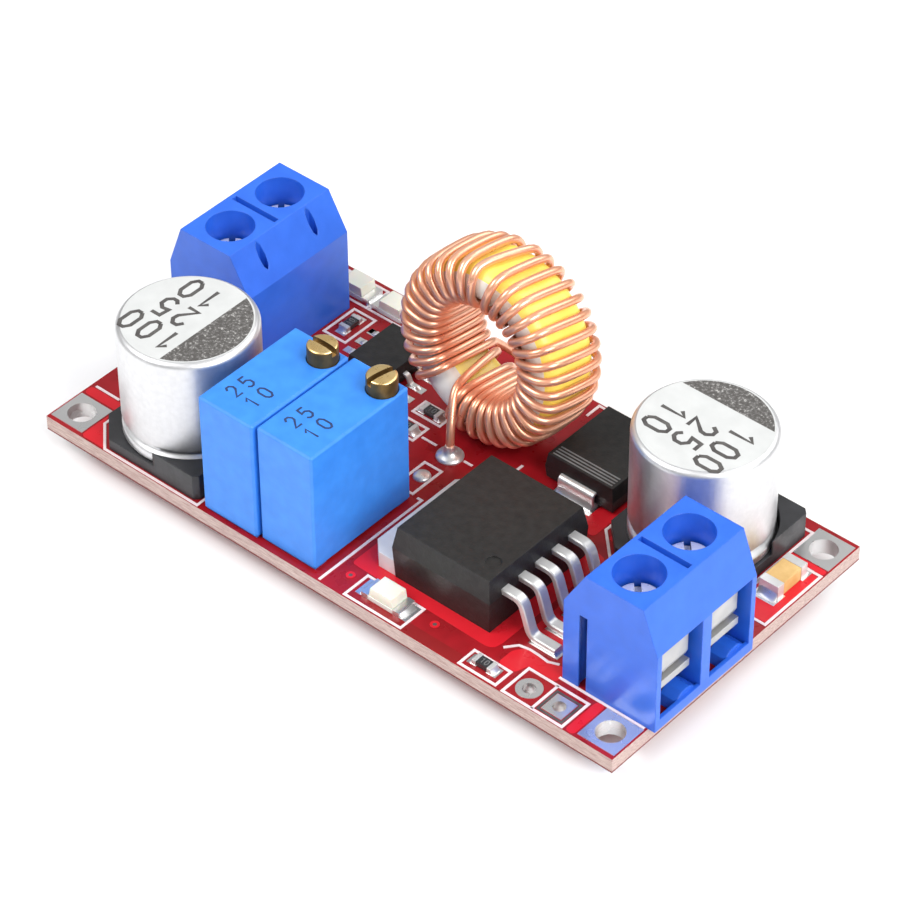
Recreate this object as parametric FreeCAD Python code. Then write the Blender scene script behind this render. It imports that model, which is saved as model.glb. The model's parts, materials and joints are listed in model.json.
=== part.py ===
import FreeCAD, Part
import math
import os

# Step-down power module on a small circuit board, in millimetres.
# The origin is the centre of the board's underside, between its four mounting holes.
# +X runs along the board towards the output terminal, +Y across it, and +Z is up.

# Circuit board
board_length = 51.2
board_width = 26.3
board_thickness = 1.2
mount_inset_x = 1.65
mount_inset_y = 1.85
mount_hole_d = 2.1
pin_pitch = 2.54
header_from_end = 8.12
header_from_side = 1.45
header_hole_d = 1.0

# Trimmed pins and solder under the board
pin_below = 1.5
solder_cone_h = 1.05
solder_spread = 0.3
solder_sides = 6

# Screw terminal block, seen along Y: u runs from its back face to the wire entries
terminal_depth = 7.7
terminal_width = 10.16
terminal_height = 10.0
terminal_back_knee = 7.0
terminal_back_run = 1.7
terminal_front_knee = 6.6
terminal_front_run = 1.25
pole_pitch = 5.08
output_overhang = 0.55
input_setback = 0.4
output_y = -4.45
input_y = 4.45
well_overlap = 1.0

chamber_width = 4.16
chamber_back = 1.15
sill_thickness = 0.3
sill_height = 0.85
ridge_r = 1.25
ridge_facets = 5
ridge_offset = 0.95
ridge_start = 6.1
well_d = 3.5
well_u = 4.05
pole_slot_width = 0.45
pole_slot_length = 4.1
pole_slot_depth = 1.0
back_hole_u = 1.08
back_hole_length = 1.1
back_hole_width = 0.62
back_hole_floor = 7.2
back_hole_sides = 8
rail_u = 1.65
rail_throat = 0.5
rail_flare = 0.2
rail_depth = 0.45
rail_height = 6.4
rail_clearance = 0.06

# Clamp contact inside each pole, and the screw and wire guard that move in it
contact_width = 3.3
contact_thickness = 0.6
contact_back_gap = 0.1
contact_top = 6.3
contact_bottom = 2.6
contact_top_front = 6.3
contact_bottom_front = 7.05
contact_bend_r = 0.5
terminal_pin_width = 1.0
terminal_pin_thickness = 0.7
terminal_hole_d = 1.5
clamp_screw_d = 2.4
clamp_screw_clearance = 0.05
clamp_head_d = 3.2
clamp_head_h = 1.0
clamp_head_top = 7.9
clamp_slot_width = 0.5
clamp_slot_depth = 0.55
guard_thickness = 0.38
guard_width = 3.0
guard_close_gap = 0.25
guard_top = 5.9
guard_front = 7.0
guard_back = 2.4
guard_lift = 1.3
guard_play = 0.04
guard_clearance = 0.08
guard_bend_r = 0.4

# Multi-turn trimmer
trimmer_x_size = 4.95
trimmer_y_size = 9.65
trimmer_height = 10.0
trimmer_standoff = 0.25
trimmer_foot = 1.1
trimmer_bevel = 0.15
trimmer_wall = 0.75
trimmer_roof = 0.9
trimmer_floor = 1.0
trimmer_corner_x = {"current": -10.58, "voltage": -5.46}
trimmer_from_side = {"current": 0.3, "voltage": 0.55}
adjuster_inset = 1.27
adjuster_head_d = 2.2
adjuster_head_h = 1.35
adjuster_clearance = 0.05
adjuster_worm_d = 1.3
adjuster_journal_h = 0.4
adjuster_shoulder_gap = 0.1
adjuster_slot_width = 0.42
adjuster_slot_depth = 0.6
adjuster_slot_angle = {"current": 0.0, "voltage": 78.0}
wheel_teeth = 32
wheel_tip_r = 2.8
wheel_tooth_h = 0.3
wheel_thickness = 0.9
wheel_mesh_gap = 0.08
wheel_hub_d = 1.8
element_thickness = 0.6
element_gap = 0.1
seal_thickness = 0.7
wiper_gap = 0.12
trimmer_pin_d = 0.5
trimmer_pin_clearance = 0.03
trimmer_hole_d = 0.9

# Can capacitors
capacitor_from_end = {"input": 9.1, "output": 8.6}
capacitor_y = {"input": -7.6, "output": 6.75}
capacitor_turn = {"input": 0.0, "output": 90.0}
can_d = 10.0
can_top = 10.2
can_seat = 0.9
can_edge_r = 0.5
can_groove_z = 2.1
can_groove_depth = 0.35
can_groove_half = 0.45
base_size = 10.3
base_corner_height = 2.1
base_corner_clear = 0.25
base_chamfer = 1.9
base_bevel = 0.35
capacitor_lead_width = 0.95
capacitor_lead_thickness = 0.2
capacitor_lead_out = 0.4
capacitor_lead_gap = 3.4

# Toroidal inductor, standing on edge with its bore along Y
coil_x = -0.9
coil_y = 6.85
coil_heading = 1.7
coil_lean = 4.7
coil_float = 0.1
core_od = 13.4
core_wall = 2.6
core_height = 5.15
core_edge_r = 1.2
core_edge_steps = 2
core_sides = 30
wire_d = 0.62
wire_gap = 0.03
wire_fit = 0.01
wire_bow = 0.1
wire_sides = 5
outer_bend_r = 0.9
outer_bend_steps = 1
inner_bend_r = 0.8
first_pass_angle = 244.5
pass_pitch = 9.8
turns = 34
bore_slant = 3.5
lead_slant = -8.5
face_slant = 1.2
open_gap = 5.0
open_gap_after = 20
lead_angle = 250.0
lead_reach = 0.45
lead_rise = 0.75
coil_pads = {"front": (-1.36, 2.07), "back": (-2.6, 11.9)}
coil_hole_d = 1.1
coil_dome_d = 2.0
coil_dome_h = 0.9
coil_dome_sides = 6

# Switching regulator with five leads and a heat tab
regulator_x = 8.02
regulator_y = -4.55
regulator_length = 8.55
regulator_width = 10.1
regulator_height = 4.45
regulator_parting = 2.7
regulator_draft = 0.28
regulator_dimple_d = 1.1
regulator_dimple_depth = 0.12
regulator_dimple_inset_x = 1.3
regulator_dimple_inset_y = 1.9
tab_thickness = 1.3
tab_reach = 2.3
tab_inset = 0.2
tab_corner = 0.9
tab_bury = 5.0
lead_pitch = 1.7
lead_count = 5
lead_width = 0.8
lead_thickness = 0.5
lead_bury = 0.8
lead_shoulder = 1.45
lead_foot_start = 2.3
lead_foot_end = 4.5
lead_bend_r = 0.55

# Rectifier diode
diode_x = 8.08
diode_y = 8.0
diode_length = 6.8
diode_width = 6.0
diode_height = 2.3
diode_parting = 1.2
diode_draft = 0.16
diode_lead_width = 3.1
diode_lead_thickness = 0.25
diode_lead_out = 0.42
diode_lead_under = 1.2
diode_lead_bury = 0.6

# Eight-lead amplifier
amplifier_x = -10.95
amplifier_y = 6.63
amplifier_length = 4.9
amplifier_width = 3.9
amplifier_height = 1.55
amplifier_underside = 0.15
amplifier_parting = 0.8
amplifier_draft = 0.15
amplifier_span = 6.2
amplifier_pitch = 1.27
amplifier_leads_a_side = 4
amplifier_lead_width = 0.42
amplifier_lead_thickness = 0.2
amplifier_lead_foot = 0.6
amplifier_lead_bend = 0.2
amplifier_lead_bury = 0.3

# Small chip parts: centre, direction of the long side, length, width, height
chip_end_share = 0.2
chip_end_skin = 0.04
led_x = {"front": 5.05, "rear_1": -18.4, "rear_2": -14.6}
led_from_side = {"front": 1.65, "rear_1": 1.7, "rear_2": 1.8}
led_length = 3.3
led_width = 1.6
led_height = 1.1
led_base_h = 0.35
led_lens_length = 2.1
led_lens_slope = 0.12
led_lens_inset = 0.05
chip_capacitor_from_end = 1.8
chip_capacitor_y = 6.95
chip_capacitor_turn = 90.0
chip_capacitor_size = (3.2, 1.6, 1.15)
chip_resistors = {
    "output_side": (13.95, -12.0, 0.0),
    "input_side": (-16.1, 8.1, 90.0),
    "amplifier_side": (-5.2, 4.6, 0.0),
    "trimmer_side": (-5.6, 2.3, 0.0),
}
chip_resistor_size = (1.6, 0.82, 0.45)
spare_pad = (-1.45, -0.75)
spare_pad_d = 1.3
spare_pad_h = 0.3

# Worked out from the sizes above
board_top = board_thickness
pin_tip = -pin_below
poles = (-pole_pitch / 2, pole_pitch / 2)
board_end = board_length / 2
board_side = board_width / 2
mount_x = board_end - mount_inset_x
mount_y = board_side - mount_inset_y
header_x = board_end - header_from_end
header_y = header_from_side - board_side
guard_bottom = contact_bottom + contact_thickness + guard_close_gap
core_id = core_od - 2 * core_wall
wire_r = wire_d / 2
bend_facet = math.radians(50)
shank_sides = 12
far = 60.0


def box(x0, x1, y0, y1, z0, z1):
    return Part.makeBox(x1 - x0, y1 - y0, z1 - z0, FreeCAD.Vector(x0, y0, z0))


def upright(x, y, z0, z1, d):
    return Part.makeCylinder(d / 2, z1 - z0, FreeCAD.Vector(x, y, z0))


def polygon_face(points):
    return Part.Face(Part.makePolygon(points + points[:1]))


def side_prism(outline, y0, y1):
    """Outline of (x, z) points carried along Y."""
    face = polygon_face([FreeCAD.Vector(x, y0, z) for x, z in outline])
    return face.extrude(FreeCAD.Vector(0, y1 - y0, 0))


def plan_prism(outline, z0, z1):
    """Outline of (x, y) points carried up Z."""
    face = polygon_face([FreeCAD.Vector(x, y, z0) for x, y in outline])
    return face.extrude(FreeCAD.Vector(0, 0, z1 - z0))


def turned(profile, x=0.0, y=0.0, z=0.0):
    """Profile of (radius, height) points turned about an upright axis."""
    face = polygon_face([FreeCAD.Vector(x + r, y, z + h) for r, h in profile])
    return face.revolve(FreeCAD.Vector(x, y, z), FreeCAD.Vector(0, 0, 1), 360)


def drafted_body(length, width, bottom, parting, top, draft):
    """Moulded block about the origin that narrows by its draft above and below the parting line."""
    def ring(z, inset):
        x = length / 2 - inset
        y = width / 2 - inset
        corners = [(-x, -y), (x, -y), (x, y), (-x, y), (-x, -y)]
        return Part.makePolygon([FreeCAD.Vector(cx, cy, z) for cx, cy in corners])
    lower = Part.makeLoft([ring(bottom, draft / 2), ring(parting, 0)], True, True)
    upper = Part.makeLoft([ring(parting, 0), ring(top, draft)], True, True)
    return lower.fuse(upper).removeSplitter()


def ring(x, y, z, r, sides):
    """Corners of a level polygon about an upright axis."""
    angles = [2 * math.pi * (i + 0.5) / sides for i in range(sides)]
    return [FreeCAD.Vector(x + r * math.cos(a), y + r * math.sin(a), z) for a in angles]


def skinned(rings, closed=False):
    """Solid with flat facets from each ring of points to the next, and back to the first or capped."""
    faces = [] if closed else [polygon_face(rings[0][::-1]), polygon_face(rings[-1])]
    for low, high in zip(rings, rings[1:] + (rings[:1] if closed else [])):
        for i in range(len(low)):
            j = (i + 1) % len(low)
            faces.append(polygon_face([low[i], low[j], high[j], high[i]]))
    shell = Part.makeShell(faces)
    shell.sewShape()
    return Part.makeSolid(shell)


def many_sided(profile, x, y, z=0.0, sides=solder_sides):
    """Profile of (radius, height) points, bottom to top, as a many-sided piece."""
    return skinned([ring(x, y, z + h, r, sides) for r, h in profile])


def many_sided_hole(x, y, z0, z1, d, sides=shank_sides):
    """Cutter whose flats just clear a round or many-sided shank of diameter d."""
    r = d / 2 / math.cos(math.pi / sides)
    return many_sided([(r, z0), (r, z1)], x, y, sides=sides)


def bent_strip(points, thickness, bend_r, y0, y1):
    """Flat strip bent along a route of (x, z) points, with bends of flat facets, y0 to y1 wide."""
    route = [FreeCAD.Vector(x, y0, z) for x, z in points]
    steps = [(b - a).normalize() for a, b in zip(route, route[1:])]
    normals = [FreeCAD.Vector(-step.z, 0, step.x) for step in steps]
    rays = [(route[0], normals[0])]
    for i, (before, after) in enumerate(zip(steps, steps[1:])):
        turn = before.x * after.z - before.z * after.x
        angle = math.atan2(turn, before.x * after.x + before.z * after.z)
        start = route[i + 1] - before * (bend_r * math.tan(abs(angle) / 2))
        inward = normals[i] * math.copysign(1, angle)
        centre = start + inward * bend_r
        facets = max(1, round(abs(angle) / bend_facet))
        for k in range(facets + 1):
            c = math.cos(angle * k / facets)
            s = math.sin(angle * k / facets)
            arm = FreeCAD.Vector(-inward.x * c + inward.z * s, 0, -inward.z * c - inward.x * s)
            rays.append((centre + arm * bend_r, arm * -math.copysign(1, angle)))
    rays.append((route[-1], normals[-1]))
    left = [at + normal * (thickness / 2) for at, normal in rays]
    right = [at - normal * (thickness / 2) for at, normal in rays]
    return polygon_face(left + right[::-1]).extrude(FreeCAD.Vector(0, y1 - y0, 0))


def mirror_x(shape):
    return shape.mirror(FreeCAD.Vector(0, 0, 0), FreeCAD.Vector(1, 0, 0))


def placed(shape, x, y, z=board_top, turn=0.0):
    moved = shape.copy()
    spin = FreeCAD.Rotation(FreeCAD.Vector(0, 0, 1), turn)
    moved.Placement = FreeCAD.Placement(FreeCAD.Vector(x, y, z), spin).multiply(moved.Placement)
    return moved


def plan_point(x, y, centre_x, centre_y, turn):
    spin = FreeCAD.Rotation(FreeCAD.Vector(0, 0, 1), turn)
    point = spin.multVec(FreeCAD.Vector(x, y, 0))
    return point.x + centre_x, point.y + centre_y


def solder_joint(x, y, hole_d, pin):
    """Solder that fills a plated hole round a pin, with a cone below the board."""
    r = hole_d / 2
    profile = [(r * 0.8, -solder_cone_h), (r + solder_spread, 0), (r, 0), (r, board_top)]
    return many_sided(profile, x, y).cut(pin)


# Terminal block

TERMINALS = {
    "input": (terminal_depth + input_setback - board_end, input_y, 180.0),
    "output": (board_end + output_overhang - terminal_depth, output_y, 0.0),
}


def terminal_housing():
    half = terminal_width / 2
    outline = [(0, 0), (terminal_depth, 0), (terminal_depth, terminal_front_knee),
               (terminal_depth - terminal_front_run, terminal_height),
               (terminal_back_run, terminal_height), (0, terminal_back_knee)]
    body = side_prism(outline, -half, half)
    for v in poles:
        side = chamber_width / 2
        sill_back = terminal_depth - sill_thickness
        body = body.cut(upright(well_u, v, terminal_front_knee - well_overlap, far, well_d))
        body = body.cut(box(chamber_back, sill_back, v - side, v + side, -far, terminal_front_knee))
        body = body.cut(box(well_u, far, v - side, v + side, sill_height, terminal_front_knee))
        arc = [math.pi * i / ridge_facets for i in range(ridge_facets + 1)]
        ridge = polygon_face([FreeCAD.Vector(ridge_start, v + ridge_offset + ridge_r * math.cos(a),
                                             ridge_r * math.sin(a)) for a in arc])
        ridge = ridge.extrude(FreeCAD.Vector(sill_back - ridge_start, 0, 0))
        body = body.fuse(ridge.common(box(0, far, v - side, v + side, 0, far)))
        lift = guard_width / 2 + guard_clearance
        body = body.cut(box(well_u, guard_front + guard_clearance, v - lift, v + lift,
                            terminal_front_knee - well_overlap, guard_top + guard_lift + guard_clearance))
        body = body.cut(back_hole(v))
    slot_start = well_u - pole_slot_length / 2
    body = body.cut(box(slot_start, slot_start + pole_slot_length,
                        -pole_slot_width / 2, pole_slot_width / 2,
                        terminal_height - pole_slot_depth, far))
    body = body.cut(rail(-half, rail_depth + rail_clearance, rail_clearance, rail_height + rail_clearance))
    return body.fuse(rail(half, rail_depth, 0, rail_height)).removeSplitter()


def back_hole(v):
    """Small oval hole that opens on the sloping back."""
    angles = [2 * math.pi * i / back_hole_sides for i in range(back_hole_sides)]
    outline = [(back_hole_u + back_hole_length / 2 * math.cos(a), v + back_hole_width / 2 * math.sin(a))
               for a in angles]
    return plan_prism(outline, back_hole_floor, far)


def rail(face_y, depth, swell, height):
    """Dovetail that joins one block to the next: it stands out of a face, or cuts into one."""
    throat = rail_throat / 2 + swell
    mouth = throat + rail_flare
    outline = [(rail_u - throat, face_y), (rail_u + throat, face_y),
               (rail_u + mouth, face_y + depth), (rail_u - mouth, face_y + depth)]
    return plan_prism(outline, 0, height)


def contact_start():
    return chamber_back + contact_back_gap + contact_thickness / 2


def terminal_pin(v):
    half_u = terminal_pin_thickness / 2
    half_v = terminal_pin_width / 2
    return box(well_u - half_u, well_u + half_u, v - half_v, v + half_v,
               pin_tip - board_top, contact_bottom + contact_thickness / 2)


def terminal_contact(v):
    half = contact_thickness / 2
    back = contact_start()
    low = contact_bottom + half
    high = contact_top - half
    route = [(contact_top_front, high), (back, high), (back, low), (contact_bottom_front, low)]
    strip = bent_strip(route, contact_thickness, contact_bend_r,
                       v - contact_width / 2, v + contact_width / 2)
    strip = strip.cut(many_sided_hole(well_u, v, guard_bottom, far, clamp_screw_d + 2 * clamp_screw_clearance))
    return strip.fuse(terminal_pin(v)).removeSplitter()


def clamp_screw(v):
    head_low = clamp_head_top - clamp_head_h
    head_r = clamp_head_d / 2
    shank_r = clamp_screw_d / 2
    tip = guard_bottom + guard_thickness + guard_play
    screw = upright(well_u, v, head_low, clamp_head_top, clamp_head_d)
    screw = screw.fuse(many_sided([(shank_r, tip), (shank_r, head_low)], well_u, v, sides=shank_sides))
    return screw.cut(box(well_u - head_r, well_u + head_r,
                         v - clamp_slot_width / 2, v + clamp_slot_width / 2,
                         clamp_head_top - clamp_slot_depth, far))


def wire_guard(v):
    half = guard_thickness / 2
    route = [(guard_back, guard_bottom + half), (guard_front - half, guard_bottom + half),
             (guard_front - half, guard_top)]
    return bent_strip(route, guard_thickness, guard_bend_r,
                      v - guard_width / 2, v + guard_width / 2)


def terminal_pin_centres():
    return [plan_point(well_u, v, x, y, turn) for x, y, turn in TERMINALS.values() for v in poles]


def terminal_solder():
    joints = []
    for x, y, turn in TERMINALS.values():
        for v in poles:
            pin = placed(terminal_pin(v), x, y, turn=turn)
            joints.append(solder_joint(*plan_point(well_u, v, x, y, turn), terminal_hole_d, pin))
    return joints


# Trimmer, in its own frame with one lower corner at the origin

ADJUSTER_X = trimmer_x_size - adjuster_inset
ADJUSTER_Y = trimmer_y_size - adjuster_inset
WHEEL_Y = ADJUSTER_Y - adjuster_worm_d / 2 - wheel_mesh_gap - wheel_tip_r
WHEEL_Z = trimmer_height / 2 + 0.1
PIN_X = trimmer_x_size / 2
CAVITY_X = trimmer_x_size - trimmer_wall
TRIMMERS = {name: (trimmer_corner_x[name], trimmer_from_side[name] - board_side) for name in trimmer_corner_x}


def trimmer_housing():
    block = box(0, trimmer_x_size, 0, trimmer_y_size, trimmer_standoff, trimmer_height)
    exposed = [e for e in block.Edges if e.CenterOfMass.z > trimmer_standoff]
    body = block.makeChamfer(trimmer_bevel, exposed)
    foot_x = trimmer_x_size - trimmer_bevel
    for y in (trimmer_bevel, trimmer_y_size - trimmer_bevel - trimmer_foot):
        body = body.fuse(box(trimmer_bevel, foot_x, y, y + trimmer_foot, 0, trimmer_standoff))
    body = body.cut(box(-far, CAVITY_X, trimmer_wall, trimmer_y_size - trimmer_wall,
                        trimmer_floor, trimmer_height - trimmer_roof))
    bore = adjuster_head_d + 2 * adjuster_clearance
    body = body.cut(upright(ADJUSTER_X, ADJUSTER_Y, trimmer_height - 2 * trimmer_roof, far, bore))
    channel = adjuster_worm_d + 2 * adjuster_clearance
    low = trimmer_floor - adjuster_journal_h - adjuster_clearance
    body = body.cut(many_sided_hole(ADJUSTER_X, ADJUSTER_Y, low, trimmer_height - trimmer_roof, channel))
    hole_r = trimmer_pin_d / 2 + trimmer_pin_clearance
    for y in trimmer_pin_rows():
        body = body.cut(many_sided([(hole_r, 0), (hole_r, trimmer_floor + trimmer_pin_clearance)], PIN_X, y))
    return body.removeSplitter()


def trimmer_pin_rows():
    middle = trimmer_y_size / 2
    return (middle - pin_pitch, middle, middle + pin_pitch)


def trimmer_adjuster(name):
    head_r = adjuster_head_d / 2
    worm_r = adjuster_worm_d / 2
    top = trimmer_height + adjuster_head_h
    shoulder = trimmer_height - trimmer_roof + adjuster_shoulder_gap
    low = trimmer_floor - adjuster_journal_h
    screw = upright(ADJUSTER_X, ADJUSTER_Y, shoulder, top, adjuster_head_d)
    screw = screw.fuse(many_sided([(worm_r, low), (worm_r, shoulder)], ADJUSTER_X, ADJUSTER_Y,
                                  sides=shank_sides))
    slot = box(-head_r, head_r, -adjuster_slot_width / 2, adjuster_slot_width / 2,
               top - adjuster_slot_depth, far)
    return screw.cut(placed(slot, ADJUSTER_X, ADJUSTER_Y, 0, adjuster_slot_angle[name]))


def trimmer_wheel():
    """Toothed wheel turned by the adjusting screw, with the hub that carries the wiper."""
    start = ADJUSTER_X - wheel_thickness / 2
    outline = []
    for i in range(wheel_teeth):
        for share, r in ((0.0, wheel_tip_r - wheel_tooth_h), (0.5, wheel_tip_r)):
            angle = 2 * math.pi * (i + share) / wheel_teeth
            outline.append(FreeCAD.Vector(start, WHEEL_Y + r * math.cos(angle), WHEEL_Z + r * math.sin(angle)))
    wheel = polygon_face(outline).extrude(FreeCAD.Vector(wheel_thickness, 0, 0))
    low = seal_thickness + element_thickness + wiper_gap
    high = CAVITY_X - wiper_gap
    hub = Part.makeCylinder(wheel_hub_d / 2, high - low, FreeCAD.Vector(low, WHEEL_Y, WHEEL_Z),
                            FreeCAD.Vector(1, 0, 0))
    return wheel.fuse(hub).removeSplitter()


def trimmer_element():
    gap = element_gap
    return box(seal_thickness, seal_thickness + element_thickness,
               trimmer_wall + gap, trimmer_y_size - trimmer_wall - gap,
               trimmer_floor + gap, trimmer_height - trimmer_roof - gap)


def trimmer_seal():
    return box(0, seal_thickness, trimmer_wall, trimmer_y_size - trimmer_wall,
               trimmer_floor, trimmer_height - trimmer_roof)


def trimmer_pin(y):
    """Pin that rises through the floor and turns to the ceramic plate."""
    r = trimmer_pin_d / 2
    bend = trimmer_floor + 2 * trimmer_pin_d
    start = seal_thickness + element_thickness
    leg = many_sided([(r, pin_tip - board_top), (r, bend)], PIN_X, y)
    arm = box(start, PIN_X, y - r * 0.7, y + r * 0.7, bend - trimmer_pin_d, bend - r * 0.4)
    return leg.fuse(arm).removeSplitter()


def trimmer_solder():
    joints = []
    for x, y in TRIMMERS.values():
        for row in trimmer_pin_rows():
            joints.append(solder_joint(x + PIN_X, y + row, trimmer_hole_d, placed(trimmer_pin(row), x, y)))
    dome = spare_pad_d / 2
    joints.append(many_sided([(dome, 0), (dome * 0.8, spare_pad_h * 0.6), (dome * 0.4, spare_pad_h)],
                             *spare_pad, board_top))
    return joints


# Can capacitor, centred on its can, with its positive side towards -X

def capacitor_can():
    r = can_d / 2
    neck = r - can_groove_depth
    edge = can_edge_r
    profile = [(0, can_seat), (r, can_seat), (r, can_groove_z - can_groove_half),
               (neck, can_groove_z), (r, can_groove_z + can_groove_half), (r, can_top - edge),
               (r - edge, can_top), (0, can_top)]
    return turned(profile)


def capacitor_base():
    half = base_size / 2
    cut = base_chamfer
    bevel = half - base_bevel
    outline = [(-half, -half + cut), (-half + cut, -half), (bevel, -half), (half, -bevel),
               (half, bevel), (bevel, half), (-half + cut, half), (-half, half - cut)]
    block = plan_prism(outline, 0, base_corner_height)
    block = block.cut(upright(0, 0, can_seat, far, can_d + 2 * base_corner_clear))
    block = block.cut(box(-far, 0, -far, far, can_seat, far))
    return block.cut(box(-far, far, -capacitor_lead_width / 2, capacitor_lead_width / 2,
                         -far, capacitor_lead_thickness))


def capacitor_leads():
    half = capacitor_lead_width / 2
    out = base_size / 2 + capacitor_lead_out
    start = capacitor_lead_gap / 2
    return [box(-out, -start, -half, half, 0, capacitor_lead_thickness),
            box(start, out, -half, half, 0, capacitor_lead_thickness)]


# Inductor: the core is turned, and the wire is one strand that follows every turn

LOOP_R = core_od / 2 + wire_r + wire_gap + wire_bow
LOOP_H = core_height / 2 + wire_r + wire_gap
BORE_R = core_id / 2 - wire_r - wire_gap
LEAN = math.radians(coil_lean)
COIL_Z = board_top + coil_float + (LOOP_R + wire_r) * math.cos(LEAN) + (LOOP_H - outer_bend_r) * math.sin(LEAN)
COIL_TURN = FreeCAD.Rotation(FreeCAD.Vector(0, 0, 1), -coil_heading).multiply(
    FreeCAD.Rotation(FreeCAD.Vector(1, 0, 0), -coil_lean))
COIL = FreeCAD.Placement(FreeCAD.Vector(coil_x, coil_y, COIL_Z), COIL_TURN)


def coil_point(r, angle, along):
    """Point at a radius and an angle from +X round the bore, and so far along its axis."""
    a = math.radians(angle)
    return COIL.multVec(FreeCAD.Vector(r * math.cos(a), along, r * math.sin(a)))


def corner(r, h, bend_r, side_r, side_h, steps):
    """Points round a bend in the (radius, height) plane, from the upright side to the flat face."""
    centre_r = r - side_r * bend_r
    centre_h = h - side_h * bend_r
    angles = [math.pi / 2 * i / steps for i in range(steps + 1)]
    return [(centre_r + side_r * bend_r * math.cos(a), centre_h + side_h * bend_r * math.sin(a))
            for a in angles]


def inductor_core():
    inner = core_id / 2
    outer = core_od / 2
    half = core_height / 2
    section = []
    for r, side_r, side_h in ((outer, 1, 1), (inner, -1, 1), (inner, -1, -1), (outer, 1, -1)):
        points = corner(r, side_h * half, core_edge_r, side_r, side_h, core_edge_steps)
        section += points if side_r == side_h else points[::-1]
    rings = [[coil_point(r, -360 * i / core_sides, h) for r, h in section] for i in range(core_sides)]
    return skinned(rings, True)


def pass_angle(k):
    """Angle at which the wire goes into the bore for the k-th time, at the front face."""
    return first_pass_angle + k * pass_pitch + (open_gap if k > open_gap_after else 0)


def turn_route(k):
    """One turn as (radius, angle, height) points: through the bore, over the back and down the front."""
    enter = pass_angle(k)
    leave = enter + (bore_slant if k else lead_slant)
    after = pass_angle(k + 1)
    inside = corner(BORE_R, LOOP_H, inner_bend_r, -1, 1, 1)
    outside = corner(LOOP_R, LOOP_H, outer_bend_r, 1, 1, outer_bend_steps)[::-1]
    route = [(inside[0][0], enter, -inside[0][1])]
    route += [(r, leave, h) for r, h in inside]
    route += [(r, leave + face_slant, h) for r, h in outside]
    route += [(r, after - face_slant, -h) for r, h in outside[::-1]]
    route.append((inside[1][0], after, -inside[1][1]))
    return route


def wire_nodes():
    front_x, front_y = coil_pads["front"]
    back_x, back_y = coil_pads["back"]
    lead_top = board_top + coil_dome_h + lead_rise
    route = [point for k in range(turns) for point in turn_route(k)]
    last = pass_angle(turns)
    route += [(BORE_R, last, -(LOOP_H - inner_bend_r)), (BORE_R, last + bore_slant, LOOP_H - inner_bend_r),
              (BORE_R + lead_reach, last + bore_slant, LOOP_H)]
    nodes = [FreeCAD.Vector(front_x, front_y, pin_tip), FreeCAD.Vector(front_x, front_y, lead_top)]
    nodes.append(coil_point(BORE_R + lead_reach, lead_angle, -LOOP_H))
    nodes += [coil_point(r, angle, h) for r, angle, h in route]
    return nodes + [FreeCAD.Vector(back_x, back_y, lead_top), FreeCAD.Vector(back_x, back_y, pin_tip)]


def strand(nodes, radius, sides):
    """Solid of a many-sided section carried along straight runs, mitred where they meet."""
    steps = [(b - a).normalize() for a, b in zip(nodes, nodes[1:])]
    across = steps[0].cross(FreeCAD.Vector(1, 0, 0)).normalize()
    over = steps[0].cross(across)
    section = []
    for i in range(sides):
        angle = 2 * math.pi * (i + 0.5) / sides
        section.append(nodes[0] + across * (radius * math.cos(angle)) + over * (radius * math.sin(angle)))
    rings = [section]
    for i, step in enumerate(steps):
        after = steps[min(i + 1, len(steps) - 1)]
        plane = (step + after).normalize()
        section = [p + step * ((nodes[i + 1] - p).dot(plane) / step.dot(plane)) for p in section]
        rings.append(section)
    return skinned(rings)


def inductor_solder():
    """Tall solder cones that hold the ends of the wire."""
    r = coil_hole_d / 2
    wide = coil_dome_d / 2
    wire = wire_r / math.cos(math.pi / coil_dome_sides) + wire_fit
    joints = []
    for x, y in coil_pads.values():
        profile = [(r * 0.8, -solder_cone_h), (r + solder_spread, 0), (r, 0), (r, board_top),
                   (wide, board_top), (wide * 0.75, board_top + coil_dome_h * 0.25),
                   (wide * 0.45, board_top + coil_dome_h)]
        pin = many_sided([(wire, pin_tip), (wire, board_top + 2 * coil_dome_h)], x, y,
                         sides=coil_dome_sides)
        joints.append(many_sided(profile, x, y, sides=coil_dome_sides).cut(pin))
    return joints


# Regulator, centred on its moulded body

def regulator_lead_rows():
    middle = (lead_count - 1) / 2
    return [(k - middle) * lead_pitch for k in range(lead_count)]


def regulator_tab():
    front = -regulator_length / 2
    wide = regulator_width / 2 - tab_inset
    back = front - tab_reach
    outline = [(front + tab_bury, -wide), (front + tab_bury, wide), (back + tab_corner, wide),
               (back, wide - tab_corner), (back, -wide + tab_corner), (back + tab_corner, -wide)]
    return plan_prism(outline, 0, tab_thickness)


def regulator_leads():
    edge = regulator_length / 2
    high = regulator_parting + lead_thickness / 2
    low = lead_thickness / 2
    route = [(edge - lead_bury, high), (edge + lead_shoulder, high),
             (edge + lead_foot_start, low), (edge + lead_foot_end, low)]
    return [bent_strip(route, lead_thickness, lead_bend_r, y - lead_width / 2, y + lead_width / 2)
            for y in regulator_lead_rows()]


def regulator_body():
    body = drafted_body(regulator_length, regulator_width, 0, regulator_parting,
                        regulator_height, regulator_draft)
    body = body.cut(regulator_tab())
    body = body.cut(Part.makeCompound(regulator_leads()))
    x = regulator_length / 2 - regulator_dimple_inset_x
    y = regulator_dimple_inset_y - regulator_width / 2
    return body.cut(many_sided_hole(x, y, regulator_height - regulator_dimple_depth, far, regulator_dimple_d))


# Diode, centred on its moulded body, with a bent terminal at each end of Y

def diode_terminals():
    edge = diode_length / 2
    half = diode_lead_thickness / 2
    out = edge + diode_lead_out - half
    route = [(edge - diode_lead_bury, diode_parting), (out, diode_parting), (out, half),
             (edge - diode_lead_under, half)]
    one = bent_strip(route, diode_lead_thickness, diode_lead_thickness,
                     -diode_lead_width / 2, diode_lead_width / 2)
    return [one, mirror_x(one)]


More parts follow.
